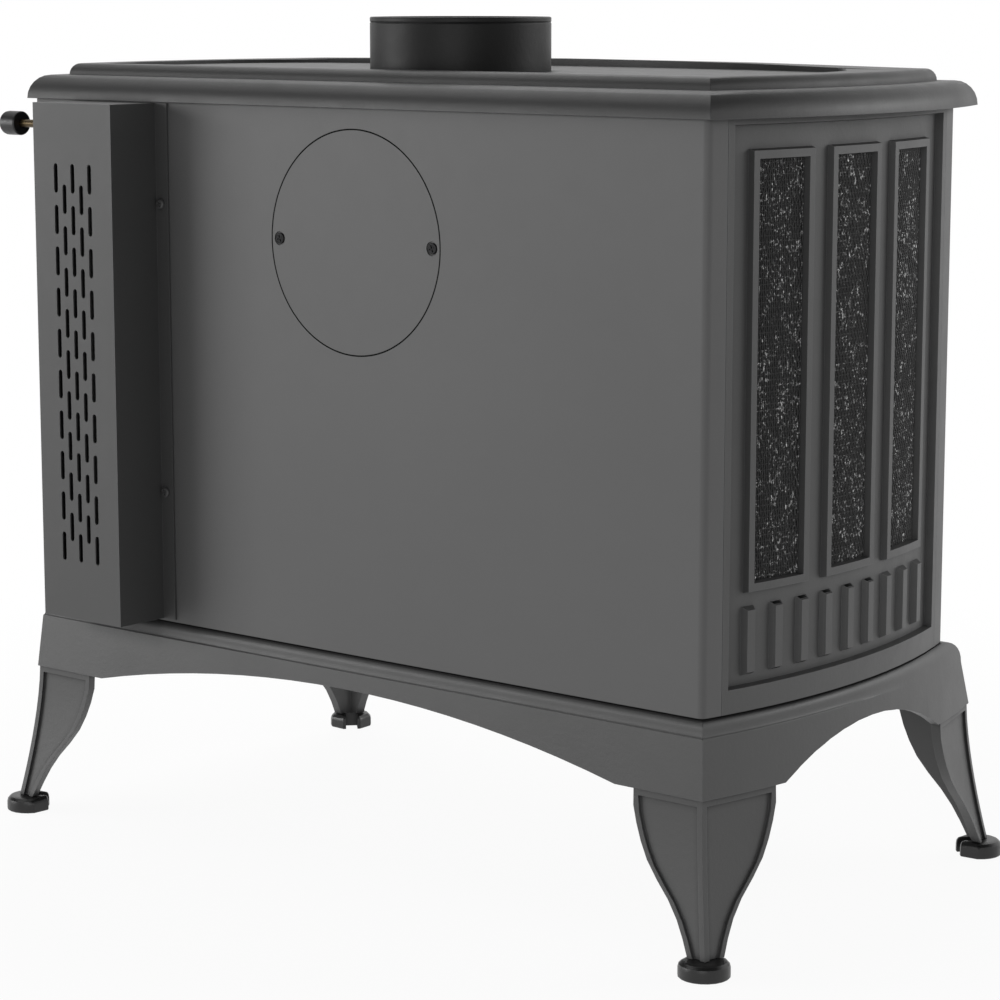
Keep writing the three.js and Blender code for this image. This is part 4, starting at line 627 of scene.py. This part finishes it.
def band_mesh(name, inner, outer):
    """A closed thin band between an inner and an outer loop of point pairs."""
    count = len(inner)
    faces = []
    points = [p for pair in inner for p in pair] + [p for pair in outer for p in pair]
    for k in range(count):
        a, b = 2 * k, 2 * ((k + 1) % count)
        c, d = a + 2 * count, b + 2 * count
        faces += [(a, a + 1, b + 1, b), (c, d, d + 1, c + 1)]
        faces += [(a, b, d, c), (a + 1, c + 1, d + 1, b + 1)]
    mesh = bpy.data.meshes.new(name)
    mesh.from_pydata(points, [], faces)
    work = bmesh.new()
    work.from_mesh(mesh)
    bmesh.ops.recalc_face_normals(work, faces=work.faces)
    work.to_mesh(mesh)
    work.free()
    return mesh


def cover_joint_shade():
    """A dark ring of painted shade in the seam round the flue cover."""
    low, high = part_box("rear_flue_cover")
    middle = (low + high) / 2
    loops = []
    for reach in COVER_JOINT_REACH:
        radius = (high.x - low.x) / 2 + reach
        loop = []
        for k in range(COVER_JOINT_STEPS):
            turn = k / COVER_JOINT_STEPS * math.tau
            x, z = middle.x + radius * math.cos(turn), middle.z + radius * math.sin(turn)
            loop.append([Vector((x, high.y + depth, z)) for depth in COVER_JOINT_DEPTH])
        loops.append(loop)
    return band_mesh("cover_joint_shade", *loops)


def hull(points):
    """The convex outline of plan points, counter-clockwise."""
    points = sorted(set(points))
    sides = []
    for run in (points, points[::-1]):
        side = []
        for p in run:
            while len(side) > 1:
                (ax, ay), (bx, by) = side[-2], side[-1]
                if (bx - ax) * (p[1] - ay) - (by - ay) * (p[0] - ax) > 0:
                    break
                side.pop()
            side.append(p)
        sides += side[:-1]
    return sides


def body_joint_shade():
    """A dark band of painted shade round the foot of the body, from the plan of its castings and
    panel.
    """
    plan = []
    for name in ("rear_panel", "side_casting_left", "side_casting_right", "front_casting"):
        obj = nodes[name]
        corners = [obj.matrix_world @ v.co for v in obj.data.vertices]
        plan += [(round(p.x, 5), round(p.y, 5)) for p in corners if p.z < (BODY_Z + 1) * MM]
    loops = []
    for grow in BODY_JOINT_GROW:
        loop = []
        for x, y in hull(plan):
            level_y = (y - BODY_MID_Y) * grow + BODY_MID_Y
            loop.append([Vector((x * grow, level_y, z)) for z in BODY_JOINT_Z])
        loops.append(loop)
    return band_mesh("body_joint_shade", *loops)


add_piece("cover_joint_shade", cover_joint_shade(), JOINT_SHADE, "stove")
add_piece("body_joint_shade", body_joint_shade(), JOINT_SHADE, "stove")


# Camera at the photograph's angle
CAMERA_PLACE = (-1.6717, 1.8252 + SHIFT_Y, 0.7393)
CAMERA_VIEW = (0.6274, -0.7611, -0.1651)
LENS = 109.17
SENSOR = 36

camera = linked("camera", bpy.data.cameras.new("camera"))
camera.location = CAMERA_PLACE
camera.rotation_euler = Vector(CAMERA_VIEW).to_track_quat("-Z", "Y").to_euler()
camera.data.lens = LENS
camera.data.sensor_width = SENSOR
camera.data.dof.use_dof = False
bpy.context.scene.camera = camera


# Soft studio light: a main box at picture-left, weak ones at the camera and behind
# picture-right, one overhead, and a pale room
BODY_MIDDLE = (0, 0.1, 0.45)
ROOM_STRENGTH = 0.5
FLOOR_PLAN = [(-6, -6), (6, -6), (6, 6), (-6, 6)]
CEILING_Z = 2.3
CEILING_PLAN = [(-6, 6), (6, 6), (6, -1), (0.5, -1.5), (-6, -1.5)]


def softbox(name, place, target, size, power):
    """A rectangular area lamp that faces its target, in metres and watts."""
    lamp = bpy.data.lights.new(name, "AREA")
    lamp.shape = "RECTANGLE"
    lamp.size, lamp.size_y = size
    lamp.energy = power
    obj = linked(name, lamp)
    obj.location = place
    obj.rotation_euler = (Vector(target) - Vector(place)).to_track_quat("-Z", "Y").to_euler()


softbox("left_box", (5.0, 4.2, 1.3), (0, 0.1, 0.5), (3.6, 2.0), 136)
softbox("side_box", (-3.3, -3.9, 1.8), BODY_MIDDLE, (3.0, 1.2), 56)
softbox("fill_box", (-2.6, 4.4, 1.6), BODY_MIDDLE, (2.6, 1.6), 42)
softbox("overhead_box", (1.2, -0.3, 2.28), (1.2, -0.3, 0), (1.8, 3.2), 34)

world = bpy.data.worlds.new("room")
bpy.context.scene.world = world
world.use_nodes = True
tree = world.node_tree
room = tree.nodes["Background"]
room.inputs["Color"].default_value = (1, 1, 1, 1)
room.inputs["Strength"].default_value = ROOM_STRENGTH
white = tree.nodes.new("ShaderNodeBackground")
white.inputs["Color"].default_value = (1, 1, 1, 1)
white.inputs["Strength"].default_value = 1.0
path = tree.nodes.new("ShaderNodeLightPath")
seen = path.outputs["Is Camera Ray"]
for kind in ("Is Glossy Ray", "Is Transmission Ray"):
    either = tree.nodes.new("ShaderNodeMath")
    either.operation = "MAXIMUM"
    tree.links.new(seen, either.inputs[0])
    tree.links.new(path.outputs[kind], either.inputs[1])
    seen = either.outputs[0]
choose = tree.nodes.new("ShaderNodeMixShader")
tree.links.new(seen, choose.inputs[0])
tree.links.new(room.outputs[0], choose.inputs[1])
tree.links.new(white.outputs[0], choose.inputs[2])
tree.links.new(choose.outputs[0], tree.nodes["World Output"].inputs["Surface"])


def stage_sheet(name, plan, height, material):
    """A flat sheet of the studio round the stove."""
    mesh = bpy.data.meshes.new(name)
    mesh.from_pydata([(x, y, height) for x, y in plan], [], [range(len(plan))])
    mesh.materials.append(material)
    sheet = linked(name, mesh)
    return sheet


stage_sheet("floor", FLOOR_PLAN, 0, ground("floor_paint", (0, 0, 0)))

# A dark ceiling over the studio, mirrored by what faces up, and open behind the object
cloth = moulded("ceiling_cloth", 0x1E1E1E, 0.9, 0.1)
stage_sheet("ceiling", CEILING_PLAN, CEILING_Z, cloth).visible_camera = False

bpy.context.scene.view_settings.view_transform = "Standard"

bpy.context.view_layer.update()
